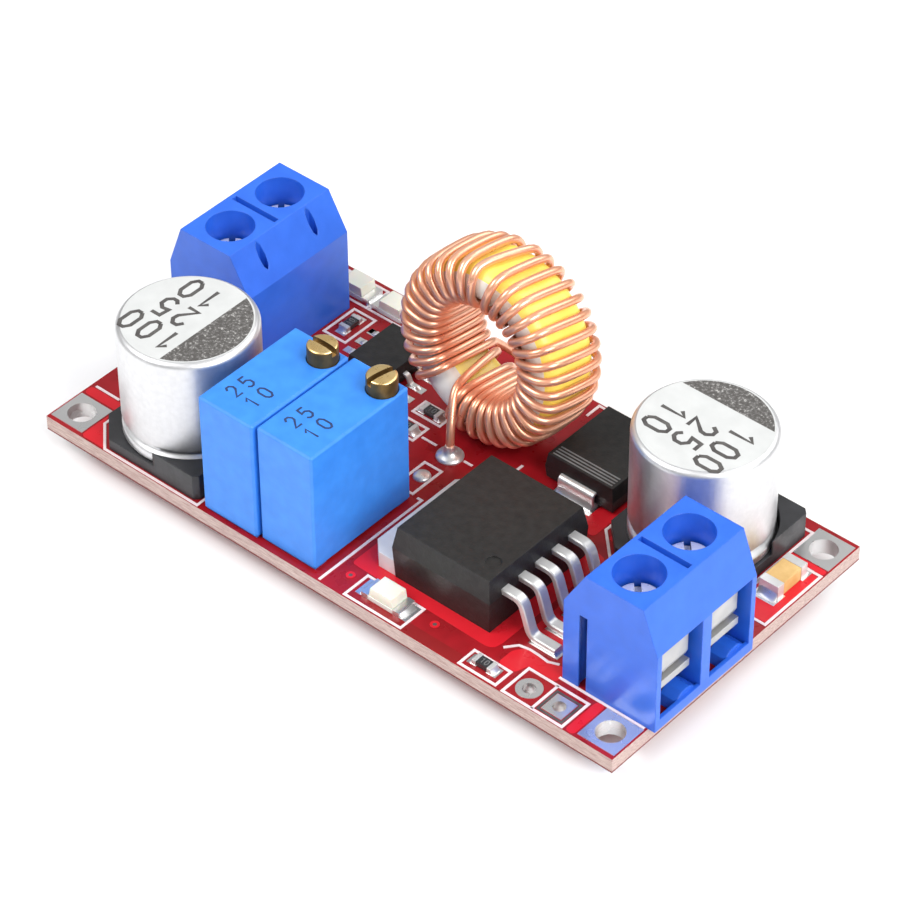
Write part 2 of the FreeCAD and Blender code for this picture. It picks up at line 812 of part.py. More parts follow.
def diode_body():
    body = drafted_body(diode_length, diode_width, diode_lead_thickness, diode_parting,
                        diode_height, diode_draft)
    return body.cut(Part.makeCompound(diode_terminals()))


# Amplifier, centred on its moulded body, with leads on both sides of X

def amplifier_leads():
    edge = amplifier_width / 2
    half = amplifier_lead_thickness / 2
    tip = amplifier_span / 2
    heel = tip - amplifier_lead_foot
    shoulder = (edge + heel) / 2
    route = [(edge - amplifier_lead_bury, amplifier_parting), (shoulder, amplifier_parting),
             (heel, half), (tip, half)]
    leads = []
    middle = (amplifier_leads_a_side - 1) / 2
    for k in range(amplifier_leads_a_side):
        y = (k - middle) * amplifier_pitch
        one = bent_strip(route, amplifier_lead_thickness, amplifier_lead_bend,
                         y - amplifier_lead_width / 2, y + amplifier_lead_width / 2)
        leads += [one, mirror_x(one)]
    return leads


def amplifier_body():
    body = drafted_body(amplifier_width, amplifier_length, amplifier_underside, amplifier_parting,
                        amplifier_height, amplifier_draft)
    return body.cut(Part.makeCompound(amplifier_leads()))


# Chip parts, centred on their footprint with the long side on X

def chip_ends(length, width, height):
    ends = []
    for side in (-1, 1):
        outer = side * length / 2
        inner = outer - side * length * chip_end_share
        skin = chip_end_skin
        shell = box(min(outer, inner), max(outer, inner), -width / 2, width / 2, 0, height)
        core = box(min(outer - side * skin, -outer), max(outer - side * skin, -outer),
                   -width / 2 + skin, width / 2 - skin, skin, height - skin)
        ends.append(shell.cut(core))
    return ends


def chip_core(length, width, height):
    skin = chip_end_skin
    return box(-length / 2 + skin, length / 2 - skin, -width / 2 + skin, width / 2 - skin,
               skin, height - skin)


def led_base():
    return box(-led_length / 2, led_length / 2, -led_width / 2, led_width / 2, 0, led_base_h)


def led_lens():
    half = led_lens_length / 2
    top = half - led_lens_slope
    side = led_width / 2 - led_lens_inset
    outline = [(-half, led_base_h), (half, led_base_h), (top, led_height), (-top, led_height)]
    return side_prism(outline, -side, side)


# Board with every hole that a pin, a stud or a header takes

def circuit_board():
    board = box(-board_end, board_end, -board_side, board_side, 0, board_top)
    for x in (-mount_x, mount_x):
        for y in (-mount_y, mount_y):
            board = board.cut(upright(x, y, 0, board_top, mount_hole_d))
    for x in (header_x, header_x + pin_pitch):
        board = board.cut(many_sided_hole(x, header_y, 0, board_top, header_hole_d))
    filled = [(x, y, terminal_hole_d, solder_sides) for x, y in terminal_pin_centres()]
    filled += [(x + PIN_X, y + row, trimmer_hole_d, solder_sides)
               for x, y in TRIMMERS.values() for row in trimmer_pin_rows()]
    filled += [(x, y, coil_hole_d, coil_dome_sides) for x, y in coil_pads.values()]
    for x, y, d, sides in filled:
        board = board.cut(many_sided([(d / 2, 0), (d / 2, board_top)], x, y, sides=sides))
    return board


def build():
    nodes = {"circuit_board": [circuit_board()]}
    for side, (x, y, turn) in TERMINALS.items():
        nodes[side + "_terminal_housing"] = [placed(terminal_housing(), x, y, turn=turn)]
        for v, pole in zip(poles, ("a", "b")):
            nodes[side + "_contact_" + pole] = [placed(terminal_contact(v), x, y, turn=turn)]
            nodes[side + "_clamp_screw_" + pole] = [placed(clamp_screw(v), x, y, turn=turn)]
            nodes[side + "_wire_guard_" + pole] = [placed(wire_guard(v), x, y, turn=turn)]
    for name, (x, y) in TRIMMERS.items():
        own = name + "_trimmer_"
        nodes[own + "housing"] = [placed(trimmer_housing(), x, y)]
        nodes[own + "screw"] = [placed(trimmer_adjuster(name), x, y)]
        nodes[own + "wheel"] = [placed(trimmer_wheel(), x, y)]
        nodes[own + "element"] = [placed(trimmer_element(), x, y)]
        nodes[own + "seal"] = [placed(trimmer_seal(), x, y)]
        nodes[own + "pins"] = [placed(trimmer_pin(row), x, y) for row in trimmer_pin_rows()]
    for side, turn in capacitor_turn.items():
        x = (board_end - capacitor_from_end[side]) * (1 if side == "output" else -1)
        y = capacitor_y[side]
        nodes[side + "_capacitor_can"] = [placed(capacitor_can(), x, y, turn=turn)]
        nodes[side + "_capacitor_base"] = [placed(capacitor_base(), x, y, turn=turn)]
        nodes[side + "_capacitor_leads"] = [placed(s, x, y, turn=turn) for s in capacitor_leads()]
    nodes["inductor_core"] = [inductor_core()]
    nodes["inductor_winding"] = [strand(wire_nodes(), wire_r, wire_sides)]
    nodes["regulator_body"] = [placed(regulator_body(), regulator_x, regulator_y)]
    nodes["regulator_tab"] = [placed(regulator_tab(), regulator_x, regulator_y)]
    nodes["regulator_leads"] = [placed(s, regulator_x, regulator_y) for s in regulator_leads()]
    nodes["diode_body"] = [placed(diode_body(), diode_x, diode_y, turn=90)]
    nodes["diode_terminals"] = [placed(s, diode_x, diode_y, turn=90) for s in diode_terminals()]
    nodes["amplifier_body"] = [placed(amplifier_body(), amplifier_x, amplifier_y)]
    nodes["amplifier_leads"] = [placed(s, amplifier_x, amplifier_y) for s in amplifier_leads()]
    nodes["led_bases"] = []
    for name, x in led_x.items():
        y = (board_side - led_from_side[name]) * (-1 if name == "front" else 1)
        nodes["led_bases"].append(placed(led_base(), x, y))
        nodes["led_lens_" + name] = [placed(led_lens(), x, y)]
    x = board_end - chip_capacitor_from_end
    y = chip_capacitor_y
    turn = chip_capacitor_turn
    nodes["chip_capacitor_body"] = [placed(chip_core(*chip_capacitor_size), x, y, turn=turn)]
    nodes["chip_capacitor_ends"] = [placed(s, x, y, turn=turn) for s in chip_ends(*chip_capacitor_size)]
    nodes["chip_resistor_bodies"] = []
    nodes["chip_resistor_ends"] = []
    for x, y, turn in chip_resistors.values():
        nodes["chip_resistor_bodies"].append(placed(chip_core(*chip_resistor_size), x, y, turn=turn))
        nodes["chip_resistor_ends"] += [placed(s, x, y, turn=turn) for s in chip_ends(*chip_resistor_size)]
    nodes["terminal_solder"] = terminal_solder()
    nodes["trimmer_solder"] = trimmer_solder()
    nodes["inductor_solder"] = inductor_solder()
    return nodes


os.makedirs("parts", exist_ok=True)
for node, solids in build().items():
    for solid in solids:
        if not solid.isValid() or solid.Volume <= 0:
            print("not a sound solid:", node)
    shape = solids[0] if len(solids) == 1 else Part.makeCompound(solids)
    shape.exportStep(os.path.join("parts", node + ".step"))
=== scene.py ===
import json
import math

import bmesh
import bpy
from mathutils import Matrix, Quaternion, Vector


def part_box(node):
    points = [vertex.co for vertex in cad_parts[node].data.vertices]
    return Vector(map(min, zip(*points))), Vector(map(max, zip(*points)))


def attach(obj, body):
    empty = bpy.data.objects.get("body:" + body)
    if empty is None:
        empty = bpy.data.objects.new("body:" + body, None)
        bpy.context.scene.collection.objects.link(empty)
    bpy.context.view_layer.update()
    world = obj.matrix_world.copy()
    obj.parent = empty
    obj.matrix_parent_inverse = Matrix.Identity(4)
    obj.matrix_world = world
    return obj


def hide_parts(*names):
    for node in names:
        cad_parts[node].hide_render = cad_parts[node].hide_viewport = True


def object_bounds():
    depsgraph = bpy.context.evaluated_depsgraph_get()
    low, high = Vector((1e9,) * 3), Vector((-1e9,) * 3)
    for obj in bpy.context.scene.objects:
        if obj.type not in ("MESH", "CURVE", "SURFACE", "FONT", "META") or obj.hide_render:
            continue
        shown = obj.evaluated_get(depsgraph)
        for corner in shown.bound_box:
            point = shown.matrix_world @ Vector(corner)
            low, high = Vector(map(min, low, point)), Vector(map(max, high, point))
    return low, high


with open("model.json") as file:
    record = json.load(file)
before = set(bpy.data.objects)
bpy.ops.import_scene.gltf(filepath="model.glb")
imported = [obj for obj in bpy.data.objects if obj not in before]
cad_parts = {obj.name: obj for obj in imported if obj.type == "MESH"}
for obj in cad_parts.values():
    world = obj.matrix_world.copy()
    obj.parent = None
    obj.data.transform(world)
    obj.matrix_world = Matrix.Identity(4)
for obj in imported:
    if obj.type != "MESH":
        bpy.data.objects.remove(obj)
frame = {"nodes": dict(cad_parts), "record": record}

# Step-down power module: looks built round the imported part.
# Origin under the middle of the board, +X to the output terminal, +Y across the board, +Z up.
# Shapes are written in millimetres and turned to metres when their mesh is made.

MM = 0.001
nodes = frame["nodes"]
cad_low, cad_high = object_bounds()

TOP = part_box("circuit_board")[1].z / MM
PIN_TIP = cad_low.z / MM

# How far thin layers rise from the face that they lie on, and how deep they start in it
MASK_RISE = 0.02
PAD_RISE = 0.035
PRINT_RISE = 0.045
THIN_INK = 0.006
INK = 0.008
THICK_INK = 0.012
SINK = 0.01


# Material building blocks

def new_material(name):
    material = bpy.data.materials.new(name)
    material.use_nodes = True
    tree = material.node_tree
    shader = tree.nodes["Principled BSDF"]
    return material, tree, shader


def noise(tree, scale, detail=2.0, roughness=0.5, stretch=None):
    """Soft noise on the object's own surface; scale is in waves a metre."""
    where = tree.nodes.new("ShaderNodeTexCoord").outputs["Object"]
    if stretch:
        mapping = tree.nodes.new("ShaderNodeMapping")
        mapping.inputs["Scale"].default_value = stretch
        tree.links.new(where, mapping.inputs["Vector"])
        where = mapping.outputs["Vector"]
    node = tree.nodes.new("ShaderNodeTexNoise")
    node.inputs["Scale"].default_value = scale
    node.inputs["Detail"].default_value = detail
    node.inputs["Roughness"].default_value = roughness
    tree.links.new(where, node.inputs["Vector"])
    return node.outputs["Fac"]


def ramp(tree, value, stops):
    """Colour or grey ramp from (place, colour) stops."""
    node = tree.nodes.new("ShaderNodeValToRGB")
    points = node.color_ramp.elements
    while len(points) < len(stops):
        points.new(0.5)
    for point, (place, colour) in zip(points, stops):
        point.position = place
        point.color = (*colour, 1.0)
    tree.links.new(value, node.inputs["Fac"])
    return node.outputs["Color"]


def grey(value):
    return (value, value, value)


def mix(tree, share, first, second):
    """first where share is 0, second where it is 1; each is a colour or a socket."""
    node = tree.nodes.new("ShaderNodeMix")
    node.data_type = "RGBA"
    for socket, given in ((node.inputs[0], share), (node.inputs[6], first), (node.inputs[7], second)):
        if isinstance(given, bpy.types.NodeSocket):
            tree.links.new(given, socket)
        elif isinstance(given, tuple):
            socket.default_value = (*given, 1.0)
        else:
            socket.default_value = given
    return node.outputs[2]


def calculate(tree, kind, first, second=0.0):
    node = tree.nodes.new("ShaderNodeMath")
    node.operation = kind
    for socket, given in ((node.inputs[0], first), (node.inputs[1], second)):
        if isinstance(given, bpy.types.NodeSocket):
            tree.links.new(given, socket)
        else:
            socket.default_value = given
    return node.outputs[0]


def rough_bump(tree, shader, height, distance, strength=1.0, edge=0.0):
    """Bump from a height socket, over edges softened by a small radius."""
    bump = tree.nodes.new("ShaderNodeBump")
    bump.inputs["Strength"].default_value = strength
    bump.inputs["Distance"].default_value = distance
    tree.links.new(height, bump.inputs["Height"])
    if edge:
        bevel = tree.nodes.new("ShaderNodeBevel")
        bevel.samples = 4
        bevel.inputs["Radius"].default_value = edge
        tree.links.new(bevel.outputs["Normal"], bump.inputs["Normal"])
    tree.links.new(bump.outputs["Normal"], shader.inputs["Normal"])


def surface(name, colour, tint, roughness, spread, grain, depth, metallic=0.0, edge=0.0, coat=0.0,
            stretch=None, coat_roughness=0.1, blend=(0.3, 0.7), ior=1.5, subsurface=0.0):
    """A material whose colour and gloss vary softly, with a fine grain; depth and edge in millimetres."""
    material, tree, shader = new_material(name)
    shader.inputs["Metallic"].default_value = metallic
    shader.inputs["Coat Weight"].default_value = coat
    shader.inputs["Coat Roughness"].default_value = coat_roughness
    shader.inputs["IOR"].default_value = ior
    shader.inputs["Subsurface Weight"].default_value = subsurface
    shader.inputs["Subsurface Scale"].default_value = 0.3 * MM
    slow = noise(tree, grain * 0.25, 3.0)
    colours = ramp(tree, slow, [(blend[0], colour), (blend[1], tint)])
    tree.links.new(colours, shader.inputs["Base Color"])
    fine = noise(tree, grain, 2.0, 0.5, stretch)
    gloss = ramp(tree, fine, [(0.3, grey(roughness - spread)), (0.7, grey(roughness + spread))])
    tree.links.new(gloss, shader.inputs["Roughness"])
    rough_bump(tree, shader, fine, depth * MM, edge=edge * MM)
    return material


# Materials

EDGE_LACQUER = 0.13


def solder_mask():
    """Red lacquer over glass fibre; the sawn edge is pale and fibrous above a thin red line."""
    material, tree, shader = new_material("solder_mask_red")
    shader.inputs["Coat Weight"].default_value = 0.1
    shader.inputs["Coat Roughness"].default_value = 0.15
    shader.inputs["IOR"].default_value = 1.33
    flow = noise(tree, 700.0, 2.0)
    mask = ramp(tree, flow, [(0.3, (0.27, 0.007, 0.011)), (0.7, (0.36, 0.009, 0.015))])
    fibre = noise(tree, 5000.0, 3.0, 0.7, stretch=(0.25, 0.6, 3.0))
    glass = ramp(tree, fibre, [(0.3, (0.36, 0.22, 0.20)), (0.7, (0.66, 0.53, 0.48))])
    place = tree.nodes.new("ShaderNodeSeparateXYZ")
    tree.links.new(tree.nodes.new("ShaderNodeTexCoord").outputs["Object"], place.inputs["Vector"])
    lacquered = calculate(tree, "LESS_THAN", place.outputs["Z"], EDGE_LACQUER * MM)
    bare = mix(tree, lacquered, glass, (0.20, 0.035, 0.035))
    geometry = tree.nodes.new("ShaderNodeNewGeometry")
    split = tree.nodes.new("ShaderNodeSeparateXYZ")
    tree.links.new(geometry.outputs["True Normal"], split.inputs["Vector"])
    facing = calculate(tree, "ABSOLUTE", split.outputs["Z"])
    flat = calculate(tree, "GREATER_THAN", facing, 0.5)
    tree.links.new(mix(tree, flat, bare, mask), shader.inputs["Base Color"])
    gloss = mix(tree, flat, grey(0.75), ramp(tree, flow, [(0.3, grey(0.26)), (0.8, grey(0.33))]))
    tree.links.new(gloss, shader.inputs["Roughness"])
    rough_bump(tree, shader, noise(tree, 1500.0, 1.0), 0.006 * MM, 0.5)
    return material


def speckled_print():
    """Dark ink on brushed metal that lets small bright flecks through."""
    material, tree, shader = new_material("can_mark_ink")
    flecks = noise(tree, 5200.0, 3.0, 0.65)
    ink = ramp(tree, flecks, [(0.44, (0.075, 0.070, 0.066)), (0.60, (0.16, 0.155, 0.15)),
                              (0.68, (0.50, 0.49, 0.47))])
    tree.links.new(ink, shader.inputs["Base Color"])
    gloss = ramp(tree, flecks, [(0.45, grey(0.55)), (0.65, grey(0.3))])
    tree.links.new(gloss, shader.inputs["Roughness"])
    rough_bump(tree, shader, flecks, 0.012 * MM)
    return material


MATERIALS = {
    "board_red": solder_mask(),
    "terminal_blue": surface("terminal_blue", (0.018, 0.120, 0.64), (0.024, 0.140, 0.71), 0.36, 0.04,
                             3000.0, 0.004, edge=0.12, coat=0.08, coat_roughness=0.3),
    "tinned_steel": surface("tinned_steel", (0.50, 0.50, 0.49), (0.60, 0.59, 0.57), 0.36, 0.06, 3000.0,
                            0.003, metallic=0.75, edge=0.06),
    "trimmer_blue": surface("trimmer_blue", (0.030, 0.215, 0.74), (0.040, 0.255, 0.82), 0.4, 0.05,
                            4000.0, 0.006, edge=0.1),
    "brass_screw": surface("brass_screw", (0.84, 0.58, 0.24), (0.94, 0.72, 0.36), 0.32, 0.08, 3000.0,
                           0.004, metallic=1.0),
    "wheel_white": surface("wheel_white", (0.80, 0.78, 0.72), (0.86, 0.84, 0.78), 0.5, 0.05, 3000.0, 0.004),
    "ceramic_white": surface("ceramic_white", (0.82, 0.80, 0.76), (0.88, 0.86, 0.82), 0.5, 0.05, 5000.0,
                             0.006),
    "seal_resin": surface("seal_resin", (0.03, 0.12, 0.42), (0.05, 0.18, 0.52), 0.3, 0.08, 1500.0, 0.02),
    "pin_tin": surface("pin_tin", (0.66, 0.66, 0.65), (0.76, 0.75, 0.73), 0.38, 0.05, 3000.0, 0.003,
                       metallic=0.6, edge=0.06),
    "can_aluminium": surface("can_aluminium", (0.70, 0.70, 0.71), (0.76, 0.76, 0.77), 0.42, 0.05, 9000.0,
                             0.002, metallic=1.0, stretch=(1.0, 1.0, 0.04)),
    "base_black": surface("base_black", (0.020, 0.020, 0.022), (0.036, 0.036, 0.040), 0.42, 0.06, 3000.0,
                          0.008, edge=0.1),
    "core_yellow": surface("core_yellow", (0.97, 0.80, 0.13), (1.0, 0.86, 0.18), 0.36, 0.05, 1800.0,
                           0.010, coat=0.15, coat_roughness=0.2),
    "wire_copper": surface("wire_copper", (0.86, 0.38, 0.22), (0.96, 0.52, 0.35), 0.31, 0.04, 800.0,
                           0.002, metallic=0.7, coat=0.4, coat_roughness=0.12),
    "epoxy_black": surface("epoxy_black", (0.012, 0.0115, 0.011), (0.021, 0.020, 0.019), 0.44, 0.06, 7000.0,
                           0.012, edge=0.1, ior=1.4),
    "led_white": surface("led_white", (0.80, 0.79, 0.74), (0.86, 0.85, 0.80), 0.4, 0.05, 3000.0, 0.004),
    "led_lens": surface("led_lens", (0.80, 0.78, 0.66), (0.88, 0.86, 0.74), 0.12, 0.05, 1500.0, 0.004,
                        coat=0.6, coat_roughness=0.05, edge=0.08, subsurface=0.3),
    "chip_tan": surface("ceramic_tan", (0.60, 0.36, 0.12), (0.74, 0.50, 0.20), 0.40, 0.06, 4000.0, 0.004,
                        edge=0.08),
    "chip_black": surface("chip_black", (0.016, 0.016, 0.018), (0.034, 0.034, 0.038), 0.28, 0.05, 4000.0,
                          0.004, coat=0.3),
    "solder": surface("solder", (0.70, 0.70, 0.70), (0.82, 0.81, 0.80), 0.32, 0.06, 900.0, 0.003,
                      metallic=0.75),
}
# Darker copy of brass for the trimmer screws' upright faces and slot walls: painted shade.
SHADED_BRASS_SIDE = surface("brass_side_painted_shade", (0.10, 0.060, 0.022), (0.26, 0.16, 0.055), 0.45, 0.08, 2600.0, 0.008,
                     metallic=0.8)
CORE_WHITE = surface("core_white", (0.76, 0.74, 0.66), (0.84, 0.82, 0.75), 0.35, 0.06, 1800.0, 0.02,
                     coat=0.25, coat_roughness=0.15)
CAN_FACE = surface("can_face_lacquer", (0.54, 0.55, 0.545), (0.59, 0.60, 0.595), 0.45, 0.05, 3000.0, 0.003)
CAN_MARK = speckled_print()
PRINT_WHITE = surface("print_white", (0.78, 0.64, 0.64), (0.86, 0.77, 0.77), 0.55, 0.06, 5000.0, 0.004)
# Dark ink for the can numbers; the same material is painted shade in the via holes and round the square pad.
DARK_INK_AND_SHADE = surface("dark_ink_and_painted_shade", (0.055, 0.05, 0.05), (0.10, 0.095, 0.09), 0.5, 0.08, 5000.0, 0.004)
PRINT_NAVY = surface("print_navy", (0.012, 0.03, 0.10), (0.02, 0.045, 0.14), 0.5, 0.08, 5000.0, 0.004)
PRINT_GREY = surface("print_grey", (0.14, 0.14, 0.14), (0.20, 0.20, 0.20), 0.5, 0.08, 5000.0, 0.004)
PAD_TIN = surface("pad_tin", (0.74, 0.74, 0.74), (0.84, 0.83, 0.82), 0.30, 0.05, 500.0, 0.002,
                  metallic=1.0)
TAB_TIN = surface("tab_tin", (0.74, 0.73, 0.71), (0.84, 0.83, 0.81), 0.45, 0.05, 3000.0, 0.003,
                  metallic=0.15, edge=0.08)
# Clamp screw heads: a whitened top as painted light, and a dark copy for the upright faces as painted shade.
LIT_SCREW_TOP = surface("screw_top_painted_light", (0.92, 0.92, 0.93), (0.98, 0.98, 0.98), 0.30, 0.05, 3000.0, 0.003,
                    metallic=0.15, edge=0.05)
SCREW_SHADE = surface("screw_shade", (0.16, 0.17, 0.20), (0.26, 0.27, 0.30), 0.45, 0.05, 3000.0, 0.003,
                      metallic=0.7)
# Copper area along the front edge: a real copper area, drawn as a darker copy of the mask-over-copper tone,
# which is painted shade.
SHADED_EDGE_COPPER = surface("mask_over_edge_copper_painted_shade", (0.21, 0.008, 0.009), (0.28, 0.010, 0.012), 0.30, 0.03,
                      900.0, 0.006, coat=0.1, coat_roughness=0.15, ior=1.35)
MASK_COPPER = surface("mask_over_copper", (0.60, 0.011, 0.020), (0.70, 0.015, 0.026), 0.30, 0.03, 900.0,
                      0.006, coat=0.1, coat_roughness=0.15, ior=1.35)


# Mesh building blocks

def mesh_from(name, make, cutters=()):
    """New mesh in metres, from a function that works in millimetres, less what the cutters take out."""
    mesh = bpy.data.meshes.new(name)
    work = bmesh.new()
    make(work)
    bmesh.ops.recalc_face_normals(work, faces=work.faces)
    work.to_mesh(mesh)
    work.free()
    for cutter in cutters:
        mesh = carved(mesh, cutter)
    mesh.transform(Matrix.Scale(MM, 4))
    return mesh


def carved(mesh, cutter):
    """Mesh with the shape that the cutter function makes taken out of it."""
    tool_mesh = bpy.data.meshes.new("tool")
    work = bmesh.new()
    cutter(work)
    bmesh.ops.recalc_face_normals(work, faces=work.faces)
    work.to_mesh(tool_mesh)
    work.free()
    pair = [bpy.data.objects.new("blank", mesh), bpy.data.objects.new("tool", tool_mesh)]
    for one in pair:
        bpy.context.scene.collection.objects.link(one)
    change = pair[0].modifiers.new("cut", "BOOLEAN")
    change.solver = "EXACT"
    change.object = pair[1]
    depsgraph = bpy.context.evaluated_depsgraph_get()
    result = bpy.data.meshes.new_from_object(pair[0].evaluated_get(depsgraph))
    for one in pair:
        bpy.data.objects.remove(one)
    return result


def add_piece(name, mesh, material, slot, body="module", stands_for=(), crease=38):
    """Object that rides a body, in place of the nodes that it stands for; the slot argument is not used."""
    piece = bpy.data.objects.new(name, mesh)
    bpy.context.scene.collection.objects.link(piece)
    chosen = [face.material_index for face in mesh.polygons]
    mesh.materials.clear()
    for one in material if isinstance(material, list) else [material]:
        mesh.materials.append(one)
    mesh.polygons.foreach_set("material_index", chosen)
    mesh.polygons.foreach_set("use_smooth", [True] * len(mesh.polygons))
    mesh.set_sharp_from_angle(angle=math.radians(crease))
    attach(piece, body)
    if stands_for:
        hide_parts(*stands_for)


def make_piece(name, make, material, slot, **more):
    """Piece whose mesh comes from a function that works in millimetres."""
    add_piece(name, mesh_from(name, make), material, slot, **more)


def loft(work, rings, closed=False):
    """Skin of quads from ring to ring, capped at both ends or joined end to start."""
    for low, high in zip(rings, rings[1:] + (rings[:1] if closed else [])):
        for i in range(len(low)):
            j = (i + 1) % len(low)
            work.faces.new([low[i], low[j], high[j], high[i]])
    if not closed:
        work.faces.new(rings[0][::-1])
        work.faces.new(rings[-1])


def prism(work, outline, low, high):
    """Plate with an outline of (x, y) points."""
    loft(work, [[work.verts.new((x, y, z)) for x, y in outline] for z in (low, high)])


def rectangle(x0, x1, y0, y1):
    return [(x0, y0), (x1, y0), (x1, y1), (x0, y1)]


def about(x, y, length, width):
    return rectangle(x - length / 2, x + length / 2, y - width / 2, y + width / 2)


def strip(work, points, width, low, high, closed=False):
    """Printed line of even width along (x, y) points, with mitred corners."""
    route = [Vector(p) for p in points]
    last = len(route) - 1
    rings = []
    for i, here in enumerate(route):
        before = route[i - 1] if i or closed else None
        after = route[(i + 1) % len(route)] if i < last or closed else None
        into = (here - before).normalized() if before is not None else (after - here).normalized()
        out = (after - here).normalized() if after is not None else into
        side = Vector((-into.y - out.y, into.x + out.x))
        side *= width / max(side.length_squared, 1.2)
        corners = [(here + side, low), (here - side, low), (here - side, high), (here + side, high)]
        rings.append([work.verts.new((p.x, p.y, z)) for p, z in corners])
    loft(work, rings, closed)


def ring_plate(work, x, y, outer, hole_r, low, high, sides=48):
    """Plate with a round hole; outer gives its reach at an angle."""
    turn = [2 * math.pi * i / sides for i in range(sides)]
    loops = []
    for reach, z in ((outer, low), (outer, high), (lambda a: hole_r, high), (lambda a: hole_r, low)):
        loops.append([work.verts.new((x + reach(a) * math.cos(a), y + reach(a) * math.sin(a), z))
                      for a in turn])
    loft(work, loops, True)


def square_reach(half):
    return lambda a: half / max(abs(math.cos(a)), abs(math.sin(a)))


def lathe(work, profile, x, y, sides):
    """Profile of (radius, height) points turned about an upright axis; a zero radius closes it."""
    rings = []
    for r, h in profile:
        count = sides if r > 1e-6 else 1
        angles = [2 * math.pi * i / sides for i in range(count)]
        rings.append([work.verts.new((x + r * math.cos(a), y + r * math.sin(a), h)) for a in angles])
    for low, high in zip(rings, rings[1:]):
        for i in range(sides):
            j = (i + 1) % sides
            loop = [low[i % len(low)], low[j % len(low)], high[j % len(high)], high[i % len(high)]]
            face = [vert for k, vert in enumerate(loop) if vert not in loop[:k]]
            if len(face) > 2:
                work.faces.new(face)


def rounded(points, radius, steps=5):
    """Open route of 2-D points whose corners are rounded by short curves."""
    route = [Vector(p) for p in points]
    out = [route[0]]
    for before, here, after in zip(route, route[1:], route[2:]):
        reach = min(radius, (before - here).length * 0.48, (after - here).length * 0.48)
        first = here + (before - here).normalized() * reach
        last = here + (after - here).normalized() * reach
        for i in range(steps + 1):
            t = i / steps
            out.append(first * (1 - t) ** 2 + here * 2 * t * (1 - t) + last * t ** 2)
    return out + [route[-1]]


def bent_strip(work, place, points, size, bend_r, row, edge):
    """Flat lead of size (thickness, width) with eased edges, bent along a route of (x, z) points."""
    route = rounded(points, bend_r, 6)
    half = size[0] / 2
    y0, y1 = row - size[1] / 2, row + size[1] / 2
    section = [(half, y0 + edge), (half, y1 - edge), (half - edge, y1), (edge - half, y1),
               (-half, y1 - edge), (-half, y0 + edge), (edge - half, y0), (half - edge, y0)]
    rings = []
    for i, here in enumerate(route):
        ahead = (route[min(i + 1, len(route) - 1)] - route[max(i - 1, 0)]).normalized()
        rings.append([work.verts.new(place @ Vector((here.x - ahead.y * n, y, here.y + ahead.x * n)))
                      for n, y in section])
    loft(work, rings)


def solder_rise(work, x, y, turn, width, reach, height):
    """Fillet of solder: hollow slope from a part's end, at (x, y), down to its pad."""
    place = placed(x, y, turn)
    steps = 6
    slope = [(reach * i / steps, 0.02 + height * (1 - i / steps) ** 2) for i in range(steps + 1)]
    outline = [(-0.1, 0.0), (reach, 0.0)] + slope[::-1] + [(-0.1, height)]
    rings = []
    for y_side, share in ((-width / 2, 0.75), (-width * 0.4, 1.0), (width * 0.4, 1.0), (width / 2, 0.75)):
        rings.append([work.verts.new(place @ Vector((d * (share if d > 0 else 1), y_side, z * share)))
                      for d, z in outline])
    loft(work, rings)


def placed(x, y, turn=0.0, z=TOP):
    return Matrix.Translation((x, y, z)) @ Matrix.Rotation(math.radians(turn), 4, "Z")


DIGITS = {
    "0": [(0.3, 0), (0.7, 0), (1, 0.45), (1, 1.55), (0.7, 2), (0.3, 2), (0, 1.55), (0, 0.45), (0.3, 0)],
    "1": [(0.1, 1.5), (0.55, 2), (0.55, 0)],
    "2": [(0, 1.55), (0.3, 2), (0.7, 2), (1, 1.6), (0.95, 1.15), (0, 0), (1, 0)],
    "5": [(0.95, 2), (0.15, 2), (0.05, 1.15), (0.6, 1.25), (1, 0.9), (1, 0.35), (0.65, 0), (0.3, 0),
          (0, 0.3)],
}


def plain_number(work, text, place, height, pitch, width, low, high):
    """Plain digits centred on a place that turns (right, up) to the board's (x, y)."""
    for i, sign in enumerate(text):
        start = (i - len(text) / 2) * pitch + (pitch - height / 2) / 2
        points = [place @ Vector((start + a * height / 2, (b / 2 - 0.5) * height, 0))
                  for a, b in DIGITS[sign]]
        strip(work, [(p.x, p.y) for p in points], width, low, high)


def finish_nodes():
    """Every carried-over node gets the material of its slot."""
    for part in frame["record"]["subparts"]:
        mesh = nodes[part["node"]].data
        mesh.materials.clear()
        mesh.materials.append(MATERIALS[part["material_slot"]])
    nodes["regulator_tab"].data.materials[0] = TAB_TIN


# Board: raised copper under the lacquer, tinned pads, plated holes and white print

MOUNT_X = 23.95
MOUNT_Y = 11.3
MOUNT_HOLE_R = 1.05
MOUNT_PAD_HALF = 1.52
HEADER_X = 17.48
HEADER_Y = -11.7
PIN_PITCH = 2.54
HEADER_HOLE_R = 0.5
HEADER_PAD_R = 0.93
HEADER_PAD_HALF = 0.85
PAD_GAP_SIDE = 2.0
PAD_GAP_WIDTH = 0.18
PLATING = 0.03
PRINT_WIDTH = 0.2
VIA_R = 0.34
VIA_HOLE_R = 0.15
VIA_DOT_R = 0.16

